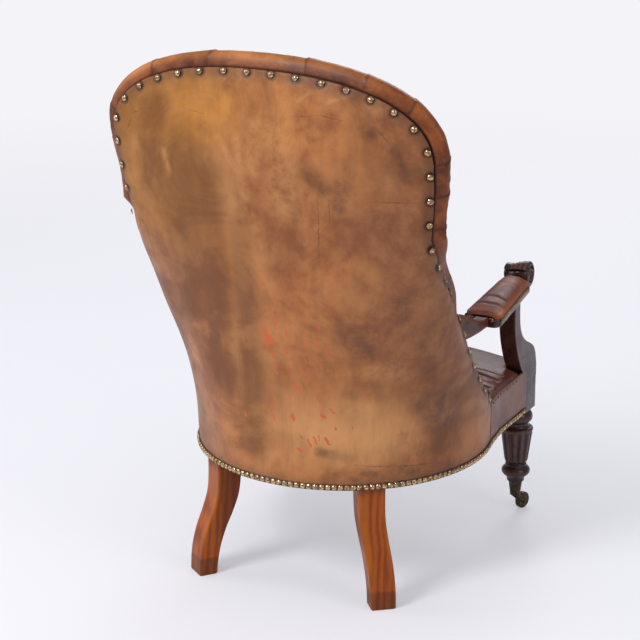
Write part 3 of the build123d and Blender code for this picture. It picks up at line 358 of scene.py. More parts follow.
# Dark rubbed spots
SMUDGES = [
    (-154, 265, -170, 260, 8), (-214, 263, -224, 256, 9), (-134, 252, -139, 250, 6),
    (-107, 261, -111, 259, 5), (-80, 306, -132, 294, 10), (-150, 545, -178, 520, 24),
    (-262, 392, -268, 350, 30), (-246, 620, -240, 590, 16), (-255, 911, -274, 856, 9),
    (-103, 852, -126, 829, 18), (22, 910, 21, 903, 3), (-92, 820, -95, 818, 4),
    (-209, 945, -213, 935, 12), (-160, 840, -150, 800, 14), (-300, 300, -270, 240, 22)]
# Painted shade in fine creases
CREASES = [
    (-115, 820, -108, 690, 0.9), (-135, 818, -133, 761, 0.9), (264, 924, 236, 939, 1.2),
    (240, 937, 216, 940, 1.0), (283, 889, 268, 917, 1.0), (-72, 956, -125, 964, 1.0),
    (-118, 963, -164, 957, 1.0), (-223, 945, -246, 922, 1.3), (-140, 280, -200, 272, 1.2),
    (-190, 274, -248, 265, 1.2), (-208, 814, -292, 815, 1.0), (141, 948, 102, 944, 1.0)]
# Pale rubbed streaks, with patches of painted light
RUBS = [(-77, 983, -100, 1001, 3), (-132, 985, -152, 992, 3), (196, 865, 189, 822, 7), (75, 905, 40, 850, 7),
        (38, 905, 28, 800, 10), (-5, 930, 8, 860, 24), (-45, 935, -45, 800, 36), (-120, 400, -165, 398, 18),
        (-105, 340, -165, 330, 26), (-115, 292, -165, 290, 20), (-180, 470, -222, 472, 20),
        (-60, 350, -100, 345, 22), (-205, 990, -230, 985, 14), (205, 480, 198, 440, 12)]
# Patches of painted shade
SHADES = [(160, 880, 150, 640, 60), (110, 830, 100, 640, 40), (45, 740, 52, 300, 30),
          (112, 640, 122, 430, 40), (165, 640, 175, 560, 30), (205, 940, 225, 800, 34),
          (-285, 420, -262, 300, 22), (-255, 880, -300, 860, 20), (-310, 900, -300, 740, 12)]


def mark(finish, place, x0, z0, x1, z1, half_width):
    """How far out of a long oval mark on the x and z plane a place is: 1 on its outline."""
    run_x, run_z = x1 - x0, z1 - z0
    return finish.node("ShaderNodeVectorMath", {0: finish.node("ShaderNodeMapping", {
        "Vector": place, "Location": ((x0 + x1) / 2000, 0, (z0 + z1) / 2000),
        "Rotation": (0, -math.atan2(run_z, run_x), 0),
        "Scale": ((math.hypot(run_x, run_z) / 2 + half_width) / 1000, 1000, half_width / 1000)},
        vector_type="TEXTURE")}, 1, operation="LENGTH")


def nearest_mark(finish, place, marks):
    """Least distance out of a list of marks."""
    found = mark(finish, place, *marks[0])
    for row in marks[1:]:
        found = finish.math("MINIMUM", found, mark(finish, place, *row))
    return found


def soft_marks(x, z, marks):
    """1 on the middle line of a mark, easing to 0 at 1.6 half widths from it."""
    found = 0 * x
    for x0, z0, x1, z1, half_width in marks:
        run_x, run_z = x1 - x0, z1 - z0
        share = np.clip(((x - x0) * run_x + (z - z0) * run_z) / (run_x**2 + run_z**2), 0, 1)
        away = np.hypot(x - x0 - share * run_x, z - z0 - share * run_z)
        found = np.maximum(found, ease(away / half_width, 1.6, 0.2))
    return found


def tan_hide():
    """Worn tan leather: broad patches of ochre and brown, streaks and scuffs, with painted light high on the
    left and down the middle, and painted shade on the right, in creases, along the seam and in dark rings
    round the nails.
    """
    hide = Finish("tan_hide", (0.225, 0.067, 0.018))
    x, y, z = hide.split()
    side = hide.math("ADD", x, hide.math("MULTIPLY_ADD", hide.noise(3.0, 3.0), 0.24, -0.12))
    height = hide.math("ADD", z, hide.math("MULTIPLY_ADD", hide.noise(4.0, 2.0), 0.2, -0.1))
    patches = hide.step(hide.noise(5.5, 6.0, 0.62, bend=0.8), 0.40, 0.62)
    fine = hide.step(hide.noise(26.0, 6.0, 0.65), 0.35, 0.7)
    streaks = hide.step(hide.noise(1.0, 6.0, 0.65, hide.stretched(38, 38, 5.5)), 0.38, 0.66)
    hide.tint((0.42, 0.152, 0.042), patches)
    # ochre high on the left, with a golden patch of painted light at the top
    hide.tint((0.265, 0.108, 0.012), 0.72, hide.step(side, 0.0, 0.14), hide.step(height, 0.55, 0.78))
    golden = hide.step(mark(hide, hide.place, 60, 965, 130, 925, 110), 1.5, 0.2)
    hide.tint((0.50, 0.205, 0.034), golden, hide.step(patches, 0.0, 1.0, 0.35, 0.8))
    # brown on the right, darkened there as painted shade, and brown low on the left
    hide.tint((0.150, 0.050, 0.022), hide.step(side, -0.06, -0.26), hide.step(height, 0.36, 0.55, 0.2, 0.65))
    hide.tint((0.145, 0.056, 0.026), 0.7, hide.step(side, 0.08, 0.24), hide.step(height, 0.74, 0.5))
    # a painted highlight band down the middle, and a warm field over the rail
    off_band = hide.math("ABSOLUTE", hide.math("SUBTRACT", side, 0.035))
    hide.tint((0.52, 0.235, 0.078), hide.step(off_band, 0.055, 0.0), hide.step(height, 0.98, 0.8),
              hide.step(streaks, 0, 1, 0.3, 0.85))
    hide.tint((0.57, 0.27, 0.098), 0.8, hide.step(side, 0.05, -0.08), hide.step(height, 0.24, 0.32),
              hide.step(height, 0.46, 0.35), hide.step(side, -0.34, -0.2))
    hide.tint((0.10, 0.036, 0.014), streaks, 0.24)
    hide.tint((0.60, 0.27, 0.09), fine, 0.22)
    # painted shade, stains, and the marks on the rear alone: dark smudges, pale rubs with patches of painted
    # light, painted shade in creases, and red scuffs
    hide.tint((0.135, 0.044, 0.009), hide.attribute("shaded"), hide.step(patches, 0.0, 1.0, 0.75, 0.5))
    hide.tint((0.075, 0.026, 0.012), 0.45, hide.step(hide.noise(9.0, 6.0, 0.72), 0.57, 0.74))
    ragged = hide.node("ShaderNodeTexNoise", {"Vector": hide.place, "Scale": 170.0, "Detail": 4.0}, "Color")
    ragged = hide.node("ShaderNodeVectorMath", {0: ragged, 1: (0.5, 0.5, 0.5)}, operation="SUBTRACT")
    ragged = hide.node("ShaderNodeVectorMath", {0: ragged, "Scale": SCUFF_RAGGED}, operation="SCALE")
    flat = hide.node("ShaderNodeVectorMath", {0: hide.place, 1: ragged}, operation="ADD")
    rear = hide.step(y, 0.05, 0.12)
    faded = hide.times(rear, hide.step(hide.noise(48.0, 5.0, 0.7), 0.3, 0.66, 0.2, 1.0))
    hide.tint((0.090, 0.034, 0.016), hide.attribute("smudged"), faded, 0.7)
    # pale rubs, and patches of painted light
    hide.tint((0.60, 0.285, 0.10), hide.attribute("rubbed"), faded, 0.42)
    # painted shade in the fine creases
    hide.tint((0.06, 0.024, 0.013), hide.step(nearest_mark(hide, flat, CREASES), 1.4, 0.3), faded, 0.75)
    hide.tint((0.50, 0.10, 0.028), hide.step(nearest_mark(hide, flat, SCUFFS), 1.25, 0.85), rear,
              hide.step(hide.noise(240.0, 4.0, 0.7), 0.3, 0.52, 0.3, 1.0))
    # painted shade along the seam and in a ring round each nail, and a darker bottom edge
    inset, run = hide.attribute("inset"), hide.attribute("run")
    edge = hide.math("ADD", inset, hide.times(hide.noise(22.0, 4.0), 22.0))
    hide.tint((0.10, 0.038, 0.018), hide.step(edge, 40.0, 10.0), 0.55)
    along = hide.math("SUBTRACT", hide.math("FRACT", hide.math("ADD", run, 0.5)), 0.5)
    along = hide.math("POWER", hide.times(along, NAIL_PITCH), 2.0)
    across = hide.math("POWER", hide.math("SUBTRACT", inset, NAIL_INSET), 2.0)
    ring = hide.math("SQRT", hide.math("ADD", along, across))
    hide.tint((0.03, 0.014, 0.01), hide.step(ring, 14.0, 6.0), 0.85)
    bottom = hide.math("ADD", z, hide.times(hide.noise(30.0, 4.0), 0.02))
    hide.tint((0.13, 0.055, 0.024), hide.step(bottom, 0.275, 0.25), 0.45)
    creases = hide.bump(hide.noise(1.0, 6.0, 0.65, hide.stretched(60, 60, 12)), 0.0012, 0.35)
    return hide.close(hide.step(patches, 0, 1, 0.48, 0.38), leather_grain(hide, under=creases),
                      Specular_IOR_Level=0.32)


def over_back(u, v, top_x, top_z, bottom):
    """Angle and height over the back: level at the bottom, and running out to the arch at the top."""
    z = bottom + v * (top_z - bottom)
    start, top_start = edge_angle(z), edge_angle(top_z)
    even = (1 - u) / 2 + 0 * v
    top_angle = np.arccos(np.clip(np.sign(u) * top_x / form(top_z)[0], -1, 1))
    share = even + ((top_angle - top_start) / (math.pi - 2 * top_start) - even) * v**3
    return start + share * (math.pi - 2 * start), z


HIDE_COLUMNS, HIDE_ROWS = 225, 205
u, v = np.linspace(1, -1, HIDE_COLUMNS)[None, :], np.linspace(0, 1, HIDE_ROWS)[:, None]
angle, z = over_back(u, v, *arch(math.pi / 2 * (1 - np.abs(u))), HIDE_BOTTOM + 0.5)
hide_grid = on_form(angle, z)
seam_shares = np.linspace(0, 1, 900)
seam_points = seam(seam_shares)
inset, run = np.full(z.shape, 400.0), np.zeros(z.shape)
nail_count = int((NAIL_LAST - NAIL_FIRST) * SEAM_LENGTH / NAIL_PITCH)
for row in range(HIDE_ROWS):
    away = np.linalg.norm(hide_grid[row][:, None] - seam_points[None], axis=-1)
    inset[row] = away.min(1)
    run[row] = (seam_shares[away.argmin(1)] - NAIL_FIRST) / (NAIL_LAST - NAIL_FIRST) * nail_count
off_nail = np.hypot((run - np.round(run)) * NAIL_PITCH, inset - NAIL_INSET)
x_share, z_share = hide_grid[..., 0] / 100, z / 100
relief = (1.3 * cloud(x_share / 1.5, z_share / 2.2, 3) + 0.5 * cloud(x_share / 0.5, z_share / 1.6, 4)
          + 0.35 * cloud(x_share / 0.16, z_share / 1.3, 5)) * ease(inset, 6, 60)
# a pucker at each nail, shallow pulls between them, and fine unevenness along the seam
relief += -1.1 * hump(off_nail, 9) - 0.5 * (1 + np.cos(2 * np.pi * run)) * hump(inset, 22)
relief += 0.7 * cloud(run * 3, inset / 9, 6) * hump(inset, 24)
relief *= ease(z, HIDE_BOTTOM + 6, HIDE_BOTTOM + 40)
normals = face_normals(hide_grid)
normals *= np.sign(normals[HIDE_ROWS // 2, HIDE_COLUMNS // 2, 1])
hide_grid = hide_grid + normals * (relief - 0.3)[..., None]
smudged, rubbed, shaded = (soft_marks(hide_grid[..., 0], z, marks) for marks in (SMUDGES, RUBS, SHADES))
hide_piece = surface("outside_hide", hide_grid, facing=(0, 1, 0), inset=inset, run=run, smudged=smudged,
                     rubbed=rubbed, shaded=shaded)
thicken(fit(hide_piece, tan_hide(), "back_hide", "outside_back_hide"), 0.0024)


# Rolled edge
# A roll of stuffing under red-brown leather, that runs round the inside back from the seat over the
# top and down again. The leather is pleated over it, and its edge goes under the hide at the seam.

ROLL_COLUMNS, ROLL_ROWS = 30, 900
LEAST_BULGE, UPPER_BULGE, TOP_BULGE = 6, 23, 2      # how far it swells out, and more above the waist
LEAST_DEPTH, MORE_DEPTH = 36, 14
MOST_PROUD = 21                                     # how far it stands out behind at the waist
# Places of the large pleats along the roll, as shares of the seam, then their height in mm
PLEATS = [(0.245, 1.1), (0.318, 1.3), (0.345, 1.6), (0.40, 1.2), (0.455, 1.6), (0.535, 1.9), (0.585, 1.1),
          (0.625, 1.9), (0.672, 1.4), (0.700, 1.6), (0.728, 1.2), (0.80, 0.9), (0.20, 0.9)]
share = np.linspace(0, 1, ROLL_ROWS)
origin, outward, inward, along = seam_frame(share)
rise = (origin[:, 2] - HIDE_BOTTOM) / BACK_RISE
swell = ease(rise, 0.44, 0.60)
top = np.clip((origin[:, 2] - ARCH_Z) / ARCH_RISE, 0, 1) ** 2
# the section goes out beyond the seam and in through the back: fixed runs, and shares of bulge and depth
bulge = (LEAST_BULGE + UPPER_BULGE * swell + TOP_BULGE * top)[:, None]
depth = (LEAST_DEPTH + MORE_DEPTH * swell)[:, None]
t = np.linspace(0, 1, ROLL_COLUMNS)[None, :]
KEYS = np.array([0, 0.10, 0.24, 0.40, 0.58, 0.74, 0.87, 1.0])
OUT_FIXED = [-5, 0, 0, 0, -2, -21, -36, -47]
OUT_BULGE = [0.0, 0.72, 1.0, 0.86, 0.15, 0, 0, 0]
IN_FIXED = [5.0, 0, 0, 0, 0, 0, 0, 0]
IN_DEPTH = [0.0, 0.14, 0.42, 0.72, 0.93, 1.0, 0.98, 0.82]
PROUD_SHARES = [0.0, 1.0, 1.0, 0.8, 0.4, 0.0, 0.0, 0.0]
out = smooth(t, KEYS, OUT_FIXED) + bulge * smooth(t, KEYS, OUT_BULGE)
proud = (MOST_PROUD * ease(rise, 0.34, 0.52) * ease(rise, 0.74, 0.60))[:, None]
into = smooth(t, KEYS, IN_FIXED) + depth * smooth(t, KEYS, IN_DEPTH) - proud * smooth(t, KEYS, PROUD_SHARES)
length = share[:, None] * SEAM_LENGTH
fold, relief = np.zeros((2, ROLL_ROWS, ROLL_COLUMNS))
for where, height in PLEATS:
    past = length - where * SEAM_LENGTH - (t - 0.35) * 26 * (1 if where < 0.5 else -1)
    past = past * (1 if where > 0.5 else -1)
    relief += height * np.where(past > 0, np.exp(-np.abs(past) / 34), 0) * ease(t, 0.0, 0.12)
    # the line of each pleat, where painted shade lies
    fold = np.maximum(fold, hump(past, 2.6))
corner = hump(share - 0.29, 0.05) + hump(share - 0.70, 0.05)
relief += (0.35 + 0.7 * corner[:, None]) * cloud(length / 7 + t * 2, t * 3.5, 8) * np.sin(np.pi * t) ** 0.5
relief += 0.6 * cloud(length / 60, t * 2, 9)
away = unit(np.stack([out + 12, into - 24], -1))
out, into = out + relief * away[..., 0], into + relief * away[..., 1]
# three columns close the section at its back, and what would show through the hide is kept under it
out = np.concatenate([out, np.broadcast_to([-44, -30, -12], (ROLL_ROWS, 3))], 1)
into = np.concatenate([into, np.broadcast_to([24, 20, 12], (ROLL_ROWS, 3))], 1)
roll_grid = origin[:, None] + outward[:, None] * out[..., None] + inward[:, None] * into[..., None]
half_width, half_depth, centre = form(roll_grid[..., 2])
turn = np.arctan2((roll_grid[..., 1] - centre) / half_depth, roll_grid[..., 0] / half_width)
limit = on_form(turn, roll_grid[..., 2], 5.5)
reach = np.hypot(roll_grid[..., 0] / half_width, (roll_grid[..., 1] - centre) / half_depth)
most = np.hypot(limit[..., 0] / half_width, (limit[..., 1] - centre) / half_depth)
column = np.arange(ROLL_COLUMNS + 3)
under_hide = (column >= ROLL_COLUMNS * 0.66) | (column == 0)
roll_grid = np.where(((reach > most) & under_hide)[..., None], limit, roll_grid)
fold = np.pad(fold, ((0, 0), (0, 3)), mode="edge")
tuck = np.pad(t, ((0, 0), (0, 3)), constant_values=1)


def red_leather():
    """Polished red-brown leather: rubbed and painted highlights over the top, and painted shade in the
    pleats and along the seam.
    """
    roll = Finish("red_leather", (0.085, 0.020, 0.008))
    x, y, z = roll.split()
    tuck = roll.attribute("tuck")
    patches = roll.step(roll.noise(9.0, 5.0, 0.6), 0.36, 0.66)
    fine = roll.step(roll.noise(46.0, 5.0, 0.65), 0.4, 0.7)
    cracks = roll.step(roll.noise(1.0, 6.0, 0.7, roll.stretched(90, 90, 90)), 0.60, 0.7)
    roll.tint((0.235, 0.062, 0.016), patches)
    roll.tint((0.40, 0.13, 0.038), fine, 0.3)
    roll.tint((0.045, 0.016, 0.01), cracks, 0.5)
    # a band beside the seam, rubbed orange and painted as a highlight, brightest over the top and fading
    # into painted shade on the right
    roll.tint((0.58, 0.215, 0.062), roll.step(tuck, 0.04, 0.12), roll.step(tuck, 0.5, 0.35),
              roll.step(z, 0.9, 1.02, 0.15, 1.0), roll.step(x, -0.26, -0.12, 0.15, 1.0),
              roll.step(patches, 0, 1, 0.35, 0.8))
    # painted shade in the pleats and in the crevice along the seam
    dark = roll.math("MAXIMUM", roll.times(roll.attribute("fold"), 0.6), roll.step(tuck, 0.042, 0.012))
    roll.tint((0.022, 0.009, 0.007), dark)
    return roll.close(roll.step(fine, 0, 1, 0.34, 0.48), leather_grain(roll, 0.0002), Specular_IOR_Level=0.2)


roll_piece = fit(surface("edge_roll", roll_grid, wrap=True, capped=True, fold=fold, tuck=tuck),
                 red_leather(), "roll_leather", "back_edge_roll")


# Inside back
# Hair stuffing under brown leather, drawn down by covered buttons in rows, with a pleat from each
# button to its neighbours and out to the roll. The face follows the back's form.

BUTTON_PITCH_X, BUTTON_PITCH_Z, BUTTON_LOWEST, BUTTON_ROWS = 118.0, 104.0, 452.0, 5
BUTTON_SINK, PLEAT_SINK, PUFF = 15.0, 5.0, 5.0
BUTTONS_IN_ROW = (3, 4)        # in the even and the odd rows
buttons = [((i - (BUTTONS_IN_ROW[row % 2] - 1) / 2) * BUTTON_PITCH_X, BUTTON_LOWEST + row * BUTTON_PITCH_Z)
           for row in range(BUTTON_ROWS) for i in range(BUTTONS_IN_ROW[row % 2])]
PAD_COLUMNS, PAD_ROWS = 190, 210
PAD_INSET, PAD_BOTTOM = 40.0, 316.0
PAD_FACE, RIM_FACE, PAD_BACK = 70.0, 46.0, 27.0     # depths of the face, of its rim and of the pad's back
u, v = np.linspace(1, -1, PAD_COLUMNS)[None, :], np.linspace(0, 1, PAD_ROWS)[:, None]
top_x, top_z = arch(math.pi / 2 * (1 - np.abs(u)))
top_x = top_x * (1 - PAD_INSET / SEAM_HALF_WIDTH)
top_z = ARCH_Z + (top_z - ARCH_Z) * (1 - PAD_INSET / ARCH_RISE)
angle, z = over_back(u, v, top_x, top_z, PAD_BOTTOM)
half_width, half_depth, centre = form(z)
side_angle = edge_angle(z)
edge = PAD_INSET / np.hypot(half_width * np.sin(side_angle), half_depth * np.cos(side_angle)) * (1 - v**3)
angle = angle + np.sign(u) * edge * np.abs(u) ** 3
rim = np.maximum(np.abs(u) ** 6 + 0 * v, ease(v, 0.90, 1.0) * (1 + 0 * u))
pad_depth = PAD_FACE - (PAD_FACE - RIM_FACE) * np.clip(rim, 0, 1)
flat = on_form(angle, z, pad_depth)
flat_x, flat_z = flat[..., 0], flat[..., 2]
dimple, pleat = np.zeros((2, *z.shape))
for bx, bz in buttons:
    dimple = np.maximum(dimple, hump(np.hypot(flat_x - bx, flat_z - bz), 20))
    for sx, sz in ((-1, -1), (-1, 1), (1, -1), (1, 1)):
        # a pleat runs to the next button, or past the last one out to the pad's edge
        ex, ez = bx + sx * BUTTON_PITCH_X / 2, bz + sz * BUTTON_PITCH_Z
        met = min(math.hypot(ex - a, ez - b) for a, b in buttons) < 1
        if not met and (abs(ex) > 120 or ez > 900 or ez < 400):
            ex, ez = ex * 1.9, ez + (40 if sz > 0 else -130)
        run_x, run_z = ex - bx, ez - bz
        share = np.clip(((flat_x - bx) * run_x + (flat_z - bz) * run_z) / (run_x**2 + run_z**2), 0, 1)
        gap = np.hypot(flat_x - bx - share * run_x, flat_z - bz - share * run_z)
        pleat = np.maximum(pleat, hump(gap, 5.5))
sink = BUTTON_SINK * dimple + PLEAT_SINK * pleat * (1 - dimple)
puff = PUFF * (1 - np.maximum(dimple, pleat)) * (1 - rim)
pad_depth = pad_depth - sink + puff + 1.2 * cloud(flat_x / 30, flat_z / 40, 12)
pad_grid = on_form(angle, z, pad_depth)


def brown_leather(name, light, dark, groove=None, specular=0.38):
    """Brown upholstery leather, with painted shade in its folds and paler where it is rubbed."""
    made = Finish(name, dark)
    patches = made.step(made.noise(11.0, 5.0, 0.6), 0.36, 0.66)
    fine = made.step(made.noise(60.0, 5.0, 0.65), 0.42, 0.72)
    made.tint(light, patches)
    made.tint([min(1.6 * c, 1) for c in light], fine, 0.25)
    if groove:
        # painted shade in the creases, pleats and dimples
        made.tint([0.25 * c for c in dark], made.attribute(groove), 0.8)
    creases = made.bump(made.noise(1.0, 6.0, 0.65, made.stretched(70, 25, 40)), 0.0012, 0.35)
    return made.close(made.step(fine, 0, 1, 0.34, 0.46), leather_grain(made, 0.0002, creases),
                      Specular_IOR_Level=specular)


inside_leather = brown_leather("inside_leather", (0.28, 0.086, 0.030), (0.14, 0.038, 0.014), "groove")
rear_grid = on_form(angle, z, np.full(z.shape, PAD_BACK))
shell = np.concatenate([pad_grid, rear_grid[:, ::-1]], 1)
# painted shade in the pleats and button dimples
groove = np.pad(np.maximum(pleat * (1 - rim) * 0.8, dimple * 0.6), ((0, 0), (0, PAD_COLUMNS)))
pad_piece = fit(surface("inside_pad", shell, wrap=True, capped=True, groove=groove), inside_leather,
                "inside_leather", "inside_back_pad")

# Covered buttons: a dome with a flat rim, set in each dimple
button_rings = np.array([(0, 4.6), (3, 4.4), (6, 3.5), (8.2, 2), (9, 0.2), (8.4, -1.6), (0, -1.8)])
around = np.linspace(0, 2 * math.pi, 20, endpoint=False)
for number, (bx, bz) in enumerate(buttons):
    near = np.unravel_index(np.argmin(np.hypot(flat_x - bx, flat_z - bz)), z.shape)
    half_width, half_depth, centre = form(np.array(bz))
    face = pad_grid[near]
    normal = unit(np.array([-bx / half_width**2, -(face[1] - centre) / half_depth**2 - 0.002, 0.0]))
    side_way = unit(np.cross(normal, (0, 0, 1.0)))
    spoke = np.cos(around)[:, None] * side_way + np.sin(around)[:, None] * np.cross(side_way, normal)
    ring = (button_rings[:, 0, None, None] * spoke + (button_rings[:, 1, None, None] + 0.5) * normal
            + (bx, face[1], bz))
    button = surface(f"back_button_{number:02d}", ring, wrap=True)
    fit(button, inside_leather, "inside_leather", *(["back_buttons"] if number == 0 else []))


# Seat
# A sprung seat under brown leather, crowned in the middle, with creases from use across it and small
# pleats at the rear corners. Plain borders close its sides and front down to the trim.

SEAT_TOP, SEAT_CROWN_Y, SEAT_CURVE = 355.0, -150.0, 2434.0
SEAT_FRONT_Y, SEAT_REAR_Y, BORDER_LOW, BORDER_TOP = -345.6, 232.0, 230.5, 319.5
MOST_FALL = 34.0        # how far the crown falls towards the back pad, which it meets over its lower edge
EDGE_ROUND, EDGE_DROP = 12.0, 9.0
GATHER_X, GATHER_Y, GATHER_PLEATS = 268, -80, 11        # the small pleats round each rear corner
# y, then half the width of the seat there: narrow between the arm supports, and round at the rear
SEAT_PLAN = np.array([(-345, 234.5), (-263, 234.5), (-259, 266.5), (-150, 267.5), (-96, 272), (-84, 266),
                      (-20, 256), (60, 246), (120, 224), (170, 188), (212, 130), (232, 70)])
y = np.concatenate([np.linspace(SEAT_FRONT_Y, -264, 40), np.linspace(-262.5, -70, 80),
                    np.linspace(-66, SEAT_REAR_Y, 62)])[:, None]
half = np.interp(y, SEAT_PLAN[:, 0], SEAT_PLAN[:, 1])
s = np.linspace(-1, 1, 141)[None, :]
s = np.sign(s) * (1 - (1 - np.abs(s)) ** 1.35)
x = s * half
edge = np.minimum(half - np.abs(x) + np.where(y > -80, 12, 0), y - SEAT_FRONT_Y)
fall = (x**2 + (y - SEAT_CROWN_Y) ** 2) / SEAT_CURVE
z = SEAT_TOP - np.where(y > -20, np.minimum(fall, MOST_FALL), fall)
z = z - EDGE_DROP * (1 - np.sqrt(np.clip(1 - (1 - np.clip(edge / EDGE_ROUND, 0, 1)) ** 2, 0, 1)))
# Creases: y on the middle line, depth, tilt and seed of the wave
SEAT_CREASES = [(-222, 1.6, 0.05, 7), (-196, 2.2, 0.03, 1), (-172, 2.8, -0.02, 2), (-150, 2.0, 0.04, 8),
                (-128, 3.0, 0.02, 3), (-104, 3.0, 0.0, 4), (-76, 2.6, 0.05, 5), (-36, 1.8, -0.04, 6)]
# painted shade in the creases and in the pleats at the rear corners
crease = np.zeros(z.shape)
for where, height, tilt, wave in SEAT_CREASES:
    line = where + tilt * np.abs(x) + 9 * cloud(x / 60, y * 0 + wave, 20 + wave)
    strength = 1.7 * ease(np.abs(x), 30 + 24 * (wave % 4), 190) * ease(edge, 2, 25)
    gap = y - line
    crease = np.maximum(crease, 0.8 * np.clip(strength, 0, 1) * hump(gap, 4.2))
    z = z + height * strength * (0.6 * hump(gap - 11, 8) - hump(gap, 4.5))
for corner_x in (-GATHER_X, GATHER_X):
    to_corner = np.hypot(x - corner_x, y - GATHER_Y)
    turn = np.arctan2(y - GATHER_Y, (x - corner_x) * -np.sign(corner_x))
    gather = hump(to_corner, 38) * ease(to_corner, 3, 14)
    wave = np.sin(turn * GATHER_PLEATS + 0.6)
    z = z + 2.3 * wave * gather
    crease = np.maximum(crease, gather * ease(-wave, 0.4, 1.0))
z = z + 1.5 * cloud(x / 70, y / 80, 30) * ease(edge, 4, 40)
# the leather turns down at both sides and at the front, behind the borders' top edge
grid = np.pad(points_of(x, y, z), ((1, 0), (1, 1), (0, 0)), mode="edge")
grid[0, :, 2] = np.minimum(grid[0, :, 2], BORDER_TOP - 3.5)
grid[:, [0, -1], 2] = BORDER_TOP - 4
crease = np.pad(crease, ((1, 0), (1, 1)), mode="edge")
seat_leather = brown_leather("seat_leather", (0.19, 0.058, 0.034), (0.075, 0.022, 0.014), "groove", 0.32)
seat_piece = fit(surface("seat_top", grid, facing=(0, 0, 1), groove=crease), seat_leather,
                 "seat_leather", "seat_cover", "seat_stuffing")
thicken(seat_piece, 0.002)


def outward_of(plan):
    """Unit directions square to a line of plan points, on its right."""
    tangent = unit(np.gradient(plan, axis=0))
    return np.stack([tangent[:, 1], -tangent[:, 0]], -1)


BORDER_WALL = 2.6


def border(name, line, top, bulge, leather, node):
    """Leather over a narrow board: a wall along a plan line, swelling a little between its edges."""
    line = np.asarray(line, float)
    lengths = running_length(line)
    steps = np.linspace(0, lengths[-1], int(lengths[-1] / 5))
    plan = np.stack([np.interp(steps, lengths, line[:, i]) for i in range(2)], -1)
    up = np.linspace(0, 1, 24)[:, None]
    height = BORDER_LOW + (top - BORDER_LOW) * up
    swell = bulge * np.sin(np.pi * up) ** 0.6 + 0.5 * cloud(steps / 26, height / 22, 40) * np.sin(np.pi * up)
    swell = np.concatenate([swell, np.full(swell.shape, -BORDER_WALL)])[..., None]
    place = plan + outward_of(plan) * swell
    grid = points_of(place[..., 0], place[..., 1], np.concatenate([height, height[::-1]]))
    fit(surface(name, grid.transpose(1, 0, 2), wrap=True, capped=True), leather, "seat_leather", node)


SIDE_LINE = np.array([(268.6, -290), (268.6, -147), (276.6, -80)])
FRONT_LINE = [(-212, SEAT_FRONT_Y), (212, SEAT_FRONT_Y)]
border_leather = brown_leather("border_leather", (0.20, 0.086, 0.055), (0.115, 0.048, 0.030))
border("side_border_left", SIDE_LINE, BORDER_TOP, 1.4, border_leather, "seat_border_left")
border("side_border_right", SIDE_LINE[::-1] * (-1, 1), BORDER_TOP, 1.4, border_leather, "seat_border_right")
border("front_border", FRONT_LINE, BORDER_TOP + 0.5, 3.0, seat_leather, "seat_border_front")


# Trim and nails
# A narrow near-black leather band runs along the bottom edge under close dome nails. Nails of the
# same brass hold the hide, the seat's side edge and the arm pads.

def old_brass(name, bright, tarnish, amount):
    """Brass gone brown in patches, left bright between them."""
    brass = Finish(name, bright)
    spots = brass.step(brass.noise(240.0, 4.0, 0.7), 0.5 - amount, 0.62)
    brass.tint(tarnish, spots)
    normal = brass.bump(brass.noise(420.0, 3.0), 0.00012, 0.5)
    return brass.close(brass.step(spots, 0, 1, 0.24, 0.5), normal, Metallic=1.0)


nail_brass = old_brass("nail_brass", (0.78, 0.56, 0.32), (0.19, 0.10, 0.045), 0.13)
dull_brass = old_brass("dull_nail_brass", (0.55, 0.37, 0.18), (0.11, 0.06, 0.03), 0.2)


def finish_node(name, material):
    """Puts a finish on a CAD node that keeps its own shape."""
    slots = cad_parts[name].data.materials
    slots.clear()
    slots.append(material)


for name in ("edge_nails", "trim_nails"):
    finish_node(name, nail_brass)
for name in ("seat_edge_nails", "arm_nails_left", "arm_nails_right"):
    finish_node(name, dull_brass)

TRIM_LOW = 229.0
TRIM_X, TRIM_CORNER_X, TRIM_FRONT_Y, TRIM_REAR_Y = 269.0, 276.6, -290.0, -82.0
TRIM_SECTION = np.array([(0.3, 0.0), (1.4, 0.5), (1.6, 3.0), (1.6, 9.0), (1.4, 11.5), (0.3, 12.0)])
half_width, half_depth, centre = form(np.array(235.0))
trim_start = math.atan2((-80.0 - centre) / half_depth, 277.0 / half_width)
turn = np.linspace(trim_start, math.pi - trim_start, 260)
rear_line = np.stack([half_width * np.cos(turn), centre + half_depth * np.sin(turn)], -1)
side_run = np.stack([np.interp(np.linspace(0, 1, 60), [0, 0.7, 1], [TRIM_X, TRIM_X, TRIM_CORNER_X]),
                     np.linspace(TRIM_FRONT_Y, TRIM_REAR_Y, 60)], -1)
trim_line = np.concatenate([side_run, rear_line, side_run[::-1] * (-1, 1)])
lengths = running_length(trim_line)
ragged = 0.9 * cloud(lengths / 9, lengths * 0, 50)[:, None]
wall = trim_line[:, None] + outward_of(trim_line)[:, None] * TRIM_SECTION[:, :1]
height = TRIM_LOW + TRIM_SECTION[:, 1] + ragged * ease(TRIM_SECTION[:, 1], 2, 11)
band_grid = points_of(wall[..., 0], wall[..., 1], height)
trim = Finish("black_trim", (0.016, 0.010, 0.008))
trim.tint((0.07, 0.034, 0.02), trim.step(trim.noise(70.0, 5.0, 0.7), 0.35, 0.7))
fit(surface("bottom_trim", band_grid, wrap=True, capped=True), trim.close(0.55, leather_grain(trim, 0.0002)),
    "trim_leather", "trim_band")
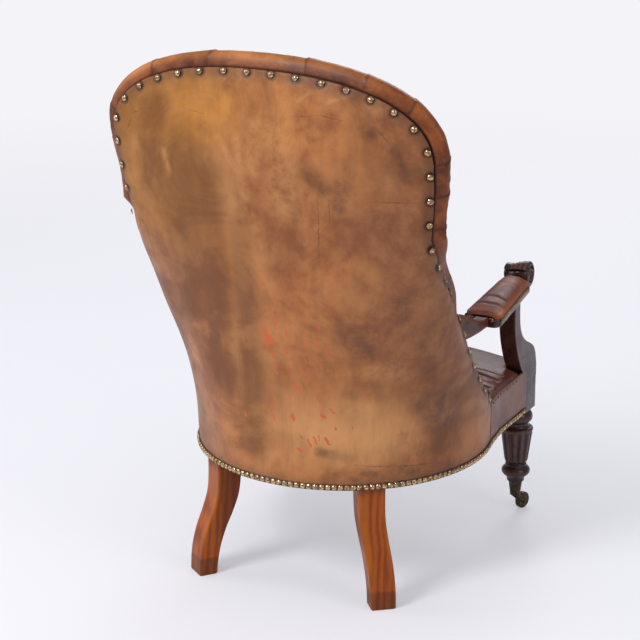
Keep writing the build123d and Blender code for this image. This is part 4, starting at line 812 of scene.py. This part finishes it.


# Rear legs
# Sabre legs of red-brown mahogany, sawn to a sweep that kicks out towards the foot. They are turned
# to face the rear corners; polish has worn paler along the rear arris, which also has a painted
# highlight, and the wood is darker at the top and the foot.

def mahogany(name, dark, light, wear, gloss, along=(9, 9, 1.6), specular=0.4, coat=0.08):
    """Polished mahogany: grain lines along one axis, short pores, wear and painted highlights on the edges,
    and painted shade with grime in the hollows.
    """
    wood = Finish(name, dark)
    bent = wood.noise(1.0, 3.0, 0.5, wood.stretched(*along), 0.4)
    lines = wood.node("ShaderNodeTexWave", {
        "Vector": wood.stretched(*[c * 3.2 for c in along]), "Scale": 0.7, "Distortion": 4.5, "Detail": 6.0,
        "Detail Scale": 1.8}, "Fac", bands_direction="DIAGONAL")
    pores = wood.noise(1.0, 6.0, 0.7, wood.stretched(*[c * (60 if c > 5 else 14) for c in along]))
    patina = wood.step(wood.noise(16.0, 5.0, 0.65), 0.35, 0.7)
    wood.tint(light, wood.step(lines, 0.1, 0.9, 0.35, 0.8))
    wood.tint([0.55 * c for c in dark], wood.step(bent, 0.35, 0.7), 0.6)
    wood.tint([0.3 * c for c in dark], wood.step(pores, 0.56, 0.68), 0.5)
    # paler edges: worn polish and painted highlights
    wood.tint(wear, wood.attribute("edge"), wood.step(patina, 0, 1, 0.4, 0.8))
    # darker where grime and painted shade lie
    wood.tint((0.012, 0.007, 0.006), wood.attribute("grime"),
              wood.step(wood.noise(38.0, 4.0, 0.7), 0.2, 0.6, 0.5, 1.0))
    normal = wood.bump(pores, 0.00025, 0.35, wood.bump(wood.noise(24.0, 3.0), 0.0012, 0.25))
    return wood.close(wood.step(patina, 0, 1, gloss, gloss + 0.16), normal, Specular_IOR_Level=specular,
                      Coat_Weight=coat, Coat_Roughness=0.15)


SABRE = np.array([(0.000, 1.00), (0.125, 0.97), (0.250, 0.87), (0.400, 0.64), (0.550, 0.32), (0.700, 0.07),
                  (0.850, 0.00), (1.000, 0.00)])
LEG_TOP, LEG_TURN = 235.9, math.radians(-38.5)
ROOT_X, ROOT_Y = 168.0, 232.0
KICK_X, KICK_Y = 33.0, 17.0         # how far the foot goes out from the top
FOOT_WIDTH, FOOT_DEPTH, TOP_WIDTH, TOP_DEPTH = 48.0, 37.0, 52.0, 50.0
SIDES = (("left", 1), ("right", -1))        # of the sitter, and the sign of its x


def rounded_box(width, depth, radius, per_corner=7, per_side=8):
    """Outline of a rectangle with rounded corners, and how near each point is to a corner."""
    middles = np.array([(1, 1), (-1, 1), (-1, -1), (1, -1)]) * (width / 2 - radius, depth / 2 - radius)
    t = np.linspace(0, 1, per_side + 2)[1:-1, None]
    points, near = [], []
    for corner, (middle, following) in enumerate(zip(middles, np.roll(middles, -1, axis=0))):
        turn = math.pi / 2 * corner + np.linspace(0, math.pi / 2, per_corner)
        arc = middle + radius * np.stack([np.cos(turn), np.sin(turn)], -1)
        points += [arc, arc[-1] + (following - middle) * t]
        near += [np.ones(per_corner), np.abs(t[:, 0] * 2 - 1) ** 10]
    return np.concatenate(points), np.concatenate(near)


height = np.concatenate([[0.0, 0.004, 0.010], np.linspace(0.02, 1, 70)])[:, None]
kick = smooth(height, SABRE[:, 0], SABRE[:, 1])
unit_box, near_corner = rounded_box(1.0, 1.0, 0.07)
shrink = np.interp(height, [0, 0.010], [0.93, 1.0])
depth = FOOT_DEPTH + (TOP_DEPTH - FOOT_DEPTH) * height
flat_x = unit_box[:, 0] * (FOOT_WIDTH + (TOP_WIDTH - FOOT_WIDTH) * height) * shrink
flat_y = unit_box[:, 1] * depth * shrink - depth / 2
cos, sin = math.cos(LEG_TURN), math.sin(LEG_TURN)
leg_x = ROOT_X + KICK_X * kick + flat_x * cos - flat_y * sin
leg_y = ROOT_Y + KICK_Y * kick + flat_x * sin + flat_y * cos
outer = ease(unit_box[:, 1], 0.1, 0.49)
# a painted highlight down the outer face beside the rear arris
streak = hump(unit_box[:, 0] + 0.33, 0.12) * outer * ease(height, 0.15, 0.4)
edge_wear = np.clip(near_corner * 0.5 * outer + 0.6 * streak, 0, 1)
# darker at the top and the foot
dirt = 0.8 * np.maximum(0.9 * ease(height, 0.90, 1.0), 0.62 * ease(height, 0.165, 0.14))
rear_mahogany = mahogany("rear_mahogany", (0.14, 0.021, 0.003), (0.40, 0.088, 0.005), (0.42, 0.115, 0.010),
                         0.34, (14, 14, 1.3), specular=0.24, coat=0.0)
for side, sign in SIDES:
    leg = surface(f"sabre_leg_{side}", points_of(sign * leg_x, leg_y, height * LEG_TOP), wrap=True,
                  capped=True, edge=edge_wear, grime=dirt)
    fit(leg, rear_mahogany, "sabre_mahogany", f"rear_leg_{side}")


# Front legs
# Each is turned from one square: a block that the rails join, a ring, a hollow, a reeded taper, a
# second ring and a neck that goes into the castor's cup. The reeds are carved after turning.

LEG_X, LEG_Y = 241.0, -318.0
# Radius at each height of the turning, from the block down to the castor cup
TURNING = np.array([
    (226, 24.0), (222.5, 25.5), (221, 27.2), (219, 28.6), (216, 30.4), (212.5, 31.6), (209, 31.9),
    (205.5, 31.5),     (202, 30.2), (199.6, 28.0), (198.6, 25.6), (198, 24.3), (195, 24.0),
    (191, 24.4), (188, 25.9), (186.6, 28.5),     (186, 31.0), (185, 32.6), (183, 33.6), (181, 33.6),
    (179.4, 32.6), (178, 31.6), (175, 32.2), (160, 30.2),     (145, 28.2), (130, 26.2), (116, 24.3),
    (112.5, 23.2), (111, 21.6), (109.5, 20.4), (108.3, 20.0), (107.3, 20.6),     (106.6, 21.7),
    (105.4, 22.0), (104.2, 21.6), (103.2, 20.8), (101, 22.6), (98, 26.0), (94.5, 28.6),
    (90.5, 29.3),     (86.5, 28.5), (82.5, 25.4), (79.5, 21.6), (77, 19.6), (73.5, 18.2),
    (70, 17.6), (68.5, 17.6), (67.6, 16.4)])
REEDS, REED_DEPTH = 12, 3.4
BLOCK_WIDTH, BLOCK_LOW, BLOCK_TOP = 56.0, 225.0, 293.0
turn = np.linspace(0, 2 * math.pi, 144, endpoint=False)
level = np.unique(np.concatenate([TURNING[:, 0], np.linspace(112, 178, 24)]))[::-1, None]
radius = np.interp(-level, -TURNING[:, 0], TURNING[:, 1])
reeded = ease(level, 111.5, 117) * ease(level, 179, 175)
reed = np.abs(np.sin(REEDS / 2 * turn))
leg_radius = radius - reeded * REED_DEPTH * (1 - reed ** 0.55)
swollen = np.clip((radius - 20) / 13, 0, 1)
# paler reed tops and swellings: wear and painted highlights; darker reed hollows and necks: painted shade
# and grime
leg_edge = reeded * ease(reed, 0.75, 1.0) * 0.7 + (1 - reeded) * swollen**3 * 0.5
leg_grime = reeded * ease(reed, 0.35, 0.1) + (1 - reeded) * ease(radius, 25, 20) * 0.7
leg_grid = points_of(leg_radius * np.cos(turn), leg_radius * np.sin(turn), level)
square, square_near = rounded_box(BLOCK_WIDTH, BLOCK_WIDTH, 1.6, 5, 10)
block_scale = np.array([0.97, 1.0, 1.0, 1.0, 1.0, 1.0])[:, None]
block_z = np.array([BLOCK_LOW, BLOCK_LOW + 0.8, 240, 260, 280, BLOCK_TOP])[:, None]
block_grid = points_of(square[:, 0] * block_scale, square[:, 1] * block_scale, block_z)
dark_mahogany = mahogany("dark_mahogany", (0.030, 0.011, 0.008), (0.075, 0.026, 0.017),
                         (0.16, 0.075, 0.055), 0.22)
for side, sign in SIDES:
    place = (sign * LEG_X, LEG_Y, 0)
    leg = surface(f"turned_leg_{side}", leg_grid + place, wrap=True, capped=True, edge=leg_edge,
                  grime=leg_grime)
    fit(leg, dark_mahogany, "turned_mahogany", f"front_leg_{side}")
    block = surface(f"leg_block_{side}", block_grid + place, wrap=True, capped=True,
                    edge=square_near * 0.4, grime=0)
    block.data.set_sharp_from_angle(angle=math.radians(40))
    fit(block, dark_mahogany, "turned_mahogany")


# Arm supports
# Sawn from a mahogany board 34 mm thick to an S between the leg block and the arm, with reeds
# worked along the front edge, and dowelled at both ends.

# y and z of its two edges, from the leg block up
SUPPORT_FRONT = [(-346, 293), (-345.5, 322), (-342, 341), (-331, 359), (-311, 372), (-288, 383), (-269, 397),
                 (-256, 416), (-250, 440), (-249, 468), (-250, 489.5)]
SUPPORT_REAR = [(-290, 293), (-290, 299), (-276, 315), (-262, 332), (-249, 352), (-238, 374), (-229, 398),
                (-224, 418), (-222, 440), (-222, 465), (-223, 489.5)]
SUPPORT_X, SUPPORT_THICK, SUPPORT_REEDS = 252.0, 34.0, 3


def even_line(points, count):
    """Points of a table's line at even lengths along it, by cubic pieces."""
    points = np.asarray(points, float)
    lengths = running_length(points)
    want = np.linspace(0, lengths[-1], count)
    return np.stack([smooth(want, lengths, points[:, i]) for i in range(points.shape[1])], -1)


STATIONS = 90
front_edge, rear_edge = even_line(SUPPORT_FRONT, STATIONS), even_line(SUPPORT_REAR, STATIONS)
outline, near = rounded_box(SUPPORT_THICK, 1.0, 0.045, 5, 14)
depth_share = outline[:, 1] + 0.5
front_reeds = ease(depth_share, 0.08, 0.0)
reed_wave = (1 - np.abs(np.cos(SUPPORT_REEDS * np.pi * (outline[:, 0] / SUPPORT_THICK + 0.5)))) * front_reeds
raised = 2.4 * (reed_wave - front_reeds) * ease(np.arange(STATIONS), 8, 16)[:, None]
line = (front_edge[:, None] + (rear_edge - front_edge)[:, None] * depth_share[:, None]
        + unit(front_edge - rear_edge)[:, None] * raised[..., None])
# paler edges and reed tops: wear and painted highlights; darker reed hollows: painted shade and grime
edge_wear, grime = np.clip(near * 0.5 + reed_wave * 0.5, 0, 1), 0.8 * front_reeds * ease(reed_wave, 0.3, 0.0)
for side, sign in SIDES:
    grid = points_of(sign * (SUPPORT_X + outline[:, 0]), line[..., 0], line[..., 1])
    support = surface(f"support_{side}", grid, wrap=True, capped=True, edge=edge_wear, grime=grime)
    fit(support, dark_mahogany, "carved_mahogany", f"arm_support_{side}")


# Arms
# The arm is one piece of dark mahogany: a neck that sweeps down from the back, a flat board under
# the pad, and at the front a scroll, reeded over its top, with a carved whorl on its outer side.

ARM_LOW, ARM_RISE, ARM_THICK = 484.0, 7.0, 19.0
ARM_REAR_Y, ARM_FRONT_Y = -42.0, -262.0


def arm_bottom(y):
    """Height of the arm board's underside."""
    return ARM_LOW + ARM_RISE * (ARM_REAR_Y - y) / (ARM_REAR_Y - ARM_FRONT_Y)


def arm_edges(y):
    """x of the inner and outer edge of the arm board."""
    along = (ARM_REAR_Y - y) / (ARM_REAR_Y - ARM_FRONT_Y)
    return 233 - 9 * along, 307 - 25 * along


# Board: a rounded section, drawn in at the rear corners
BOARD_WIDTH, BOARD_CORNER = 60.0, 14.0
board_y = np.concatenate([ARM_REAR_Y - BOARD_CORNER * (1 - np.cos(np.linspace(0, math.pi / 2, 12))),
                          np.linspace(-58, ARM_FRONT_Y, 30)])[:, None]
inner, outer = arm_edges(board_y)
to_corner = np.clip(1 - (ARM_REAR_Y - board_y) / BOARD_CORNER, 0, 1)
half_width = (outer - inner) / 2 - BOARD_CORNER * (1 - np.sqrt(1 - to_corner**2))
board, board_near = rounded_box(BOARD_WIDTH, ARM_THICK, 4.0, 6, 10)
board_grid = points_of((inner + outer) / 2 + board[:, 0] / (BOARD_WIDTH / 2) * half_width, board_y,
                       arm_bottom(board_y) + ARM_THICK / 2 + board[:, 1])

# Neck: rounded sections between an upper edge that rises to the back and a flat lower one
# y and z of its two edges, from the board to the back
NECK_UPPER = [(-62, 503), (-42, 503.5), (-22, 505), (0, 510), (20, 517), (45, 529), (70, 540), (92, 548),
              (106, 552)]
NECK_LOWER = [(-62, 486), (-42, 485), (-22, 484.5), (0, 484.5), (20, 485.5), (40, 487), (58, 489),
              (76, 491.5), (84, 493)]
NECK_X, NECK_WIDTH, NECK_HEIGHT = 269.5, 27.0, 20.0
upper, lower = even_line(NECK_UPPER, 40)[:, None], even_line(NECK_LOWER, 40)[:, None]
neck, neck_near = rounded_box(NECK_WIDTH, NECK_HEIGHT, 4.0, 6, 8)
neck_line = lower + (upper - lower) * (neck[:, 1] / NECK_HEIGHT + 0.5)[:, None]
neck_grid = points_of(NECK_X + neck[:, 0], neck_line[..., 0], neck_line[..., 1])
neck_mahogany = mahogany("neck_mahogany", (0.040, 0.011, 0.006), (0.115, 0.032, 0.014), (0.22, 0.075, 0.035),
                         0.34, (9, 1.6, 9), specular=0.15, coat=0.0)

# Scroll: a spiral profile across the arm, with reeds that follow it
SCROLL_X, SCROLL_Y, SCROLL_Z, SCROLL_WIDTH = 224.0, -284.0, 520.0, 50.0
SCROLL_REEDS, SCROLL_REED_DEPTH = 5, 2.8
SCROLL_RADIUS, SCROLL_CLOSING, SCROLL_WALL = 30.5, 13.5, 9.5
SCROLL_START, SCROLL_END = math.radians(38), math.radians(433)


def round_scroll(x, radius, angle, y=SCROLL_Y, z=SCROLL_Z):
    """Grid of points round a line across the arm, at a radius and an angle."""
    return points_of(x, y + radius * np.cos(angle), z + radius * np.sin(angle))


wind = np.linspace(SCROLL_START, SCROLL_END, 120)[:, None]
spiral = SCROLL_RADIUS - SCROLL_CLOSING * ease(wind, math.radians(200), SCROLL_END) + 0.5 * np.cos(wind)
across = np.linspace(0, 1, 65)
reed = np.abs(np.sin(np.pi * SCROLL_REEDS * across)) ** 0.6
fade = ease(wind, SCROLL_START, math.radians(62))
rim = np.minimum(across, 1 - across)
rounding = 3.0 * (1 - np.sqrt(np.clip(rim / 0.05, 0, 1)))
scroll_radius = spiral - SCROLL_REED_DEPTH * (1 - reed) * fade - rounding
scroll_radius = scroll_radius * (1 - 0.46 * (1 - across) ** 1.4 - 0.08 * across**8)
scroll_x = SCROLL_X + SCROLL_WIDTH * across
scroll_shell = np.concatenate([round_scroll(scroll_x, scroll_radius, wind),
                               round_scroll(scroll_x[::-1], np.maximum(spiral - SCROLL_WALL, 3.0), wind)], 1)
# paler flute tops: wear and painted highlights; darker flute hollows and inner wall: painted shade and grime
scroll_edge = np.pad(ease(reed, 0.6, 1.0)[None], ((0, 0), (0, 65)))
scroll_grime = np.pad(ease(reed, 0.45, 0.1) * fade * 0.9, ((0, 0), (0, 65)), constant_values=0.6)

# Core and whorls: a disc fills the scroll, a small spiral stands on each side of it, and a curl under it
CORE = np.array([(224.6, 5.0), (225.2, 9.0), (225.6, 11.5), (272.4, 22.0), (272.8, 14.0), (273.4, 6.0)])
CURL = np.array([(225.5, 4.0), (226.5, 8.5), (228, 10.6), (270, 10.6), (271.5, 8.5), (272.5, 4.0)])
turn = np.linspace(0, 2 * math.pi, 72, endpoint=False)
core_grid = round_scroll(CORE[:, :1], CORE[:, 1:], turn)
curl_grid = round_scroll(CURL[:, :1], CURL[:, 1:], turn, -281, 492)
WHORL_EYE, WHORL_SPREAD, WHORL_TURNS = 3.2, 15.5, 2.1
coil = np.linspace(0, 2 * WHORL_TURNS * math.pi, 150)[:, None]
coil_radius = WHORL_EYE + WHORL_SPREAD * (coil / coil[-1]) ** 0.9
tube = np.linspace(0, 2 * math.pi, 12, endpoint=False)
tube_size = 1.6 + 1.7 * coil / coil[-1]
# the core and curl sit in the scroll's hollow, darkened with painted shade and grime; the whorls' ridges are
# paler with wear and painted highlights
arm_pieces = [("arm_board", board_grid, board_near * 0.55, 0, dark_mahogany),
              ("arm_neck", neck_grid, neck_near * 0.5, 0, neck_mahogany),
              ("scroll", scroll_shell, scroll_edge, scroll_grime, dark_mahogany),
              ("scroll_core", core_grid, 0.2, 0.5, dark_mahogany),
              ("scroll_curl", curl_grid, 0.4, 0.3, dark_mahogany)]
for name, face_x, size in (("whorl_outer", 273.2, 1.0), ("whorl_inner", 224.8, 0.6)):
    reach = size * (coil_radius + tube_size * np.cos(tube))
    grid = round_scroll(face_x + tube_size * np.sin(tube), reach, coil + 0.6)
    arm_pieces.append((name, grid, 0.7 * ease(np.abs(np.sin(tube)), 0.6, 1.0), 0.2, dark_mahogany))
for side, sign in SIDES:
    for name, grid, edge_wear, grime, wood in arm_pieces:
        piece = surface(f"{name}_{side}", grid * (sign, 1, 1), wrap=True, capped=True, edge=edge_wear,
                        grime=grime)
        fit(piece, wood, "carved_mahogany", *([f"arm_{side}"] if name == "arm_board" else []))


# Arm pads
# Hair pads under dark leather on the arm boards, crowned, with creases across them. The leather is
# nailed close along its edges, and is worn orange at the rear outer corner.

PAD_FRONT_Y, PAD_REAR_Y, PAD_CORNER, PAD_EDGE = -257.0, -44.0, 13.0, 1.2
# Way from the rear end, then height over the board
PAD_CROWN = np.array([(0, 3.5), (12, 8.0), (45, 15.5), (110, 19.0), (175, 20.5), (203, 18.0), (213, 11.0)])
NAIL_RUN = 10.4         # from nail to nail along the pad's edge
y = (PAD_REAR_Y + (PAD_FRONT_Y - PAD_REAR_Y) * (1 - np.cos(np.linspace(0, math.pi, 90))) / 2)[:, None]
inner, outer = arm_edges(y)
s = np.linspace(-1, 1, 61)[None, :]
s = np.sign(s) * (1 - (1 - np.abs(s)) ** 1.4)
from_rear = PAD_REAR_Y - y
to_corner = np.clip(1 - from_rear / PAD_CORNER, 0, 1)
x = (inner + outer) / 2 + s * ((outer - inner) / 2 - PAD_EDGE - PAD_CORNER * (1 - np.sqrt(1 - to_corner**2)))
crown = np.interp(from_rear, PAD_CROWN[:, 0], PAD_CROWN[:, 1])
wall = 4.0 * ease(from_rear, 0, 6) + 1.0
z = arm_bottom(y) + ARM_THICK + wall + (crown - wall) * (1 - np.abs(s) ** 2.6) ** 0.8
groove = np.zeros(z.shape)
for where, height, tilt in ((-84, 0.8, 0.16), (-118, 1.7, 0.12), (-196, 0.6, 0.1)):
    gap = y - where - tilt * (x - 265) - 4 * cloud(x / 22, y * 0 + where / 10, 60)
    strength = 1 - np.abs(s) ** 4
    z = z + height * strength * (0.5 * hump(gap + 10, 8) - hump(gap, 4.0))
    groove = np.maximum(groove, strength * hump(gap, 2.2) * height / 3)
z = z + 0.5 * np.cos(2 * np.pi * y / NAIL_RUN) * np.abs(s) ** 12
# the leather turns down over both edges of the board
grid = np.pad(points_of(x, y, z), ((0, 0), (1, 1), (0, 0)), mode="edge")
grid[:, [0, -1], 0] += (-1.6, 1.6)
grid[:, [0, -1], 2] = arm_bottom(y) + ARM_THICK - 8.5
worn = ease(s, 0.35, 0.95) * ease(from_rear, 70, 10) + 0.6 * ease(s, 0.8, 0.97)
groove, worn = np.pad(groove, ((0, 0), (1, 1))), np.pad(worn, ((0, 0), (1, 1)), mode="edge")
pad_leather = Finish("arm_leather", (0.12, 0.026, 0.014))
patches = pad_leather.step(pad_leather.noise(14.0, 5.0, 0.6), 0.36, 0.66)
fine = pad_leather.step(pad_leather.noise(70.0, 5.0, 0.65), 0.42, 0.72)
pad_leather.tint((0.26, 0.062, 0.026), patches)
pad_leather.tint((0.28, 0.12, 0.08), fine, 0.2)
pad_leather.tint((0.45, 0.13, 0.03), pad_leather.attribute("worn"), pad_leather.step(fine, 0, 1, 0.45, 0.9))
# painted shade in the creases
pad_leather.tint((0.02, 0.008, 0.007), pad_leather.attribute("groove"), 0.8)
arm_leather = pad_leather.close(pad_leather.step(fine, 0, 1, 0.4, 0.52), leather_grain(pad_leather, 0.0002),
                                Specular_IOR_Level=0.2)
for side, sign in SIDES:
    pad = surface(f"arm_cushion_{side}", grid * (sign, 1, 1), facing=(0, 0, 1), groove=groove, worn=worn)
    fit(pad, arm_leather, "arm_leather", f"arm_pad_{side}")
    thicken(pad, 0.0015)


# Castors
# A tapered brass cup on each front leg, a forked horn that swivels in it, and a brass wheel on a
# steel-centred axle. The brass has gone brown with green in the hollows.

def castor_brass():
    """Brown brass, green in patches."""
    brass = Finish("castor_brass", (0.055, 0.036, 0.022))
    brass.tint((0.14, 0.085, 0.042), brass.step(brass.noise(120.0, 5.0, 0.65), 0.42, 0.66))
    green = brass.step(brass.noise(75.0, 4.0, 0.7), 0.50, 0.66)
    brass.tint((0.04, 0.05, 0.032), green, 0.6)
    normal = brass.bump(brass.noise(300.0, 4.0), 0.0003, 0.5)
    return brass.close(brass.step(green, 0, 1, 0.4, 0.6), normal, Metallic=0.8)


castor_finish = castor_brass()
axle_finish = old_brass("axle_end", (0.25, 0.2, 0.14), (0.05, 0.035, 0.025), 0.2)
for side, sign in SIDES:
    for name in ("castor_cup", "castor_horn", "castor_wheel"):
        finish_node(f"{name}_{side}", castor_finish)
    finish_node(f"castor_axle_{side}", axle_finish)


# Frame and underside
# Beech rails, uprights and corner blocks inside the upholstery, jute webbing and hessian, coppered
# springs, and a black cloth tacked under the seat. Little of it is seen.

beech = Finish("beech", (0.42, 0.27, 0.15))
beech_lines = beech.noise(1.0, 6.0, 0.6, beech.stretched(120, 12, 120))
beech.tint((0.30, 0.17, 0.085), beech.step(beech_lines, 0.35, 0.65))
beech_finish = beech.close(0.6, beech.bump(beech_lines, 0.0004, 0.5))


def woven(name, colour, dark, pitch):
    """Plain weave: two sets of threads at right angles."""
    cloth = Finish(name, dark)
    x, y, z = cloth.split()
    warp, weft = (cloth.math("SINE", cloth.times(run, 2 * math.pi / pitch)) for run in (x, y))
    threads = cloth.times(warp, weft)
    cloth.tint(colour, cloth.step(threads, -1, 1))
    cloth.tint(dark, cloth.noise(90.0, 4.0), 0.4)
    return cloth.close(0.85, cloth.bump(threads, pitch / 3, 0.6), Sheen_Weight=0.2)


hessian = woven("hessian", (0.36, 0.27, 0.16), (0.16, 0.11, 0.06), 0.002)
jute = woven("jute_web", (0.42, 0.33, 0.2), (0.2, 0.14, 0.08), 0.003)
black_cloth = woven("black_cloth", (0.03, 0.028, 0.027), (0.012, 0.011, 0.011), 0.0012)
spring_wire = old_brass("spring_wire", (0.5, 0.3, 0.18), (0.16, 0.08, 0.05), 0.1)
for name in ("back_upright_left", "back_upright_right", "crest_rail", "back_seat_rail", "side_rail_left",
             "side_rail_right", "front_seat_rail", "corner_blocks", "arm_dowels"):
    finish_node(name, beech_finish)
for name, material in (("seat_springs", spring_wire), ("seat_hessian", hessian), ("seat_webbing", jute),
                       ("back_webbing", jute), ("bottom_cloth", black_cloth)):
    finish_node(name, material)


# Floor, light and camera
# A pale studio floor that runs out into a white ground, soft light from all round with one large
# lamp on the left, and a long lens behind the chair's right shoulder.

scene = bpy.context.scene
FLOOR_RADIUS = 5.0
rings = np.linspace(0.00002, 1, 24)[:, None] * FLOOR_RADIUS * 1000
turn = np.linspace(0, 2 * math.pi, 96, endpoint=False)
floor = surface("floor", points_of(rings * np.cos(turn), rings * np.sin(turn) - DATUM_Y, -0.02), wrap=True,
                facing=(0, 0, 1))
ground = Finish("pale_ground", (0.86, 0.855, 0.90))
ground.close(0.6, ground.bump(ground.noise(6.0, 3.0), 0.002, 0.2))
glow = ground.node("ShaderNodeEmission", {"Color": (0.90, 0.895, 0.95, 1), "Strength": 1.0})
camera_ray = ground.node("ShaderNodeLightPath", {}, "Is Camera Ray")
near_floor = ground.node("ShaderNodeMixShader", {
    0: ground.times(camera_ray, 0.38), 1: ground.shader.outputs[0], 2: glow})
away = ground.node("ShaderNodeVectorMath", {0: ground.place}, 1, operation="LENGTH")
faded = ground.node("ShaderNodeMixShader", {
    0: ground.step(away, 1.6, 4.2), 1: near_floor, 2: ground.node("ShaderNodeBsdfTransparent", {})})
ground.tree.links.new(faded, ground.tree.nodes["Material Output"].inputs[0])
floor.data.materials.append(ground.material)

world = bpy.data.worlds.new("studio")
world.use_nodes = True
scene.world = world
tree = world.node_tree
light_path = tree.nodes.new("ShaderNodeLightPath")
# what the walls give to diffuse light, to reflections and to the camera, each laid over the one before
sky = None
for ray, colour, strength in ((None, (0.82, 0.83, 0.88, 1), 0.62),
                              ("Is Glossy Ray", (0.86, 0.82, 0.92, 1), 0.36),
                              ("Is Camera Ray", (0.90, 0.90, 0.94, 1), 1.0)):
    wall = tree.nodes.new("ShaderNodeBackground") if ray else tree.nodes["Background"]
    wall.inputs["Color"].default_value, wall.inputs["Strength"].default_value = colour, strength
    if ray:
        either = tree.nodes.new("ShaderNodeMixShader")
        for socket, link in enumerate((light_path.outputs[ray], sky, wall.outputs[0])):
            tree.links.new(link, either.inputs[socket])
    sky = either.outputs[0] if ray else wall.outputs[0]
tree.links.new(sky, tree.nodes["World Output"].inputs[0])


def pointing(direction):
    """Turn of a lamp or camera that looks along a direction."""
    return Vector(direction).to_track_quat("-Z", "Y").to_euler()


def soft_lamp(name, place, aim, size, power):
    """Square lamp that points from its place to an aim, in metres and watts."""
    lamp = bpy.data.lights.new(name, "AREA")
    lamp.shape, lamp.size, lamp.energy = "SQUARE", size, power
    holder = bpy.data.objects.new(name, lamp)
    scene.collection.objects.link(holder)
    holder.location, holder.rotation_euler = place, pointing(np.subtract(aim, place))


soft_lamp("key", (1.2, 3.2, 3.3), (0.0, 0.1, 0.6), 1.3, 116)
soft_lamp("left", (3.4, 0.8, 1.6), (0.0, 0.0, 0.5), 1.8, 24)
soft_lamp("right", (-3.4, 1.0, 2.2), (0.0, 0.0, 0.6), 1.6, 22)
soft_lamp("front", (0.6, -3.4, 2.4), (0.0, 0.0, 0.6), 1.8, 34)

AZIMUTH, PITCH = math.radians(25.847), math.radians(17.780)
camera = bpy.data.objects.new("camera", bpy.data.cameras.new("camera"))
scene.collection.objects.link(camera)
camera.data.lens, camera.data.sensor_width = 135.0, 36.0
camera.data.clip_end = 60.0
camera.location = (-1.8887, 4.0072 + DATUM_Y / 1000, 1.8918)
camera.rotation_euler = pointing((math.sin(AZIMUTH) * math.cos(PITCH), -math.cos(AZIMUTH) * math.cos(PITCH),
                                  -math.sin(PITCH)))
scene.camera = camera
scene.view_settings.view_transform = "Standard"
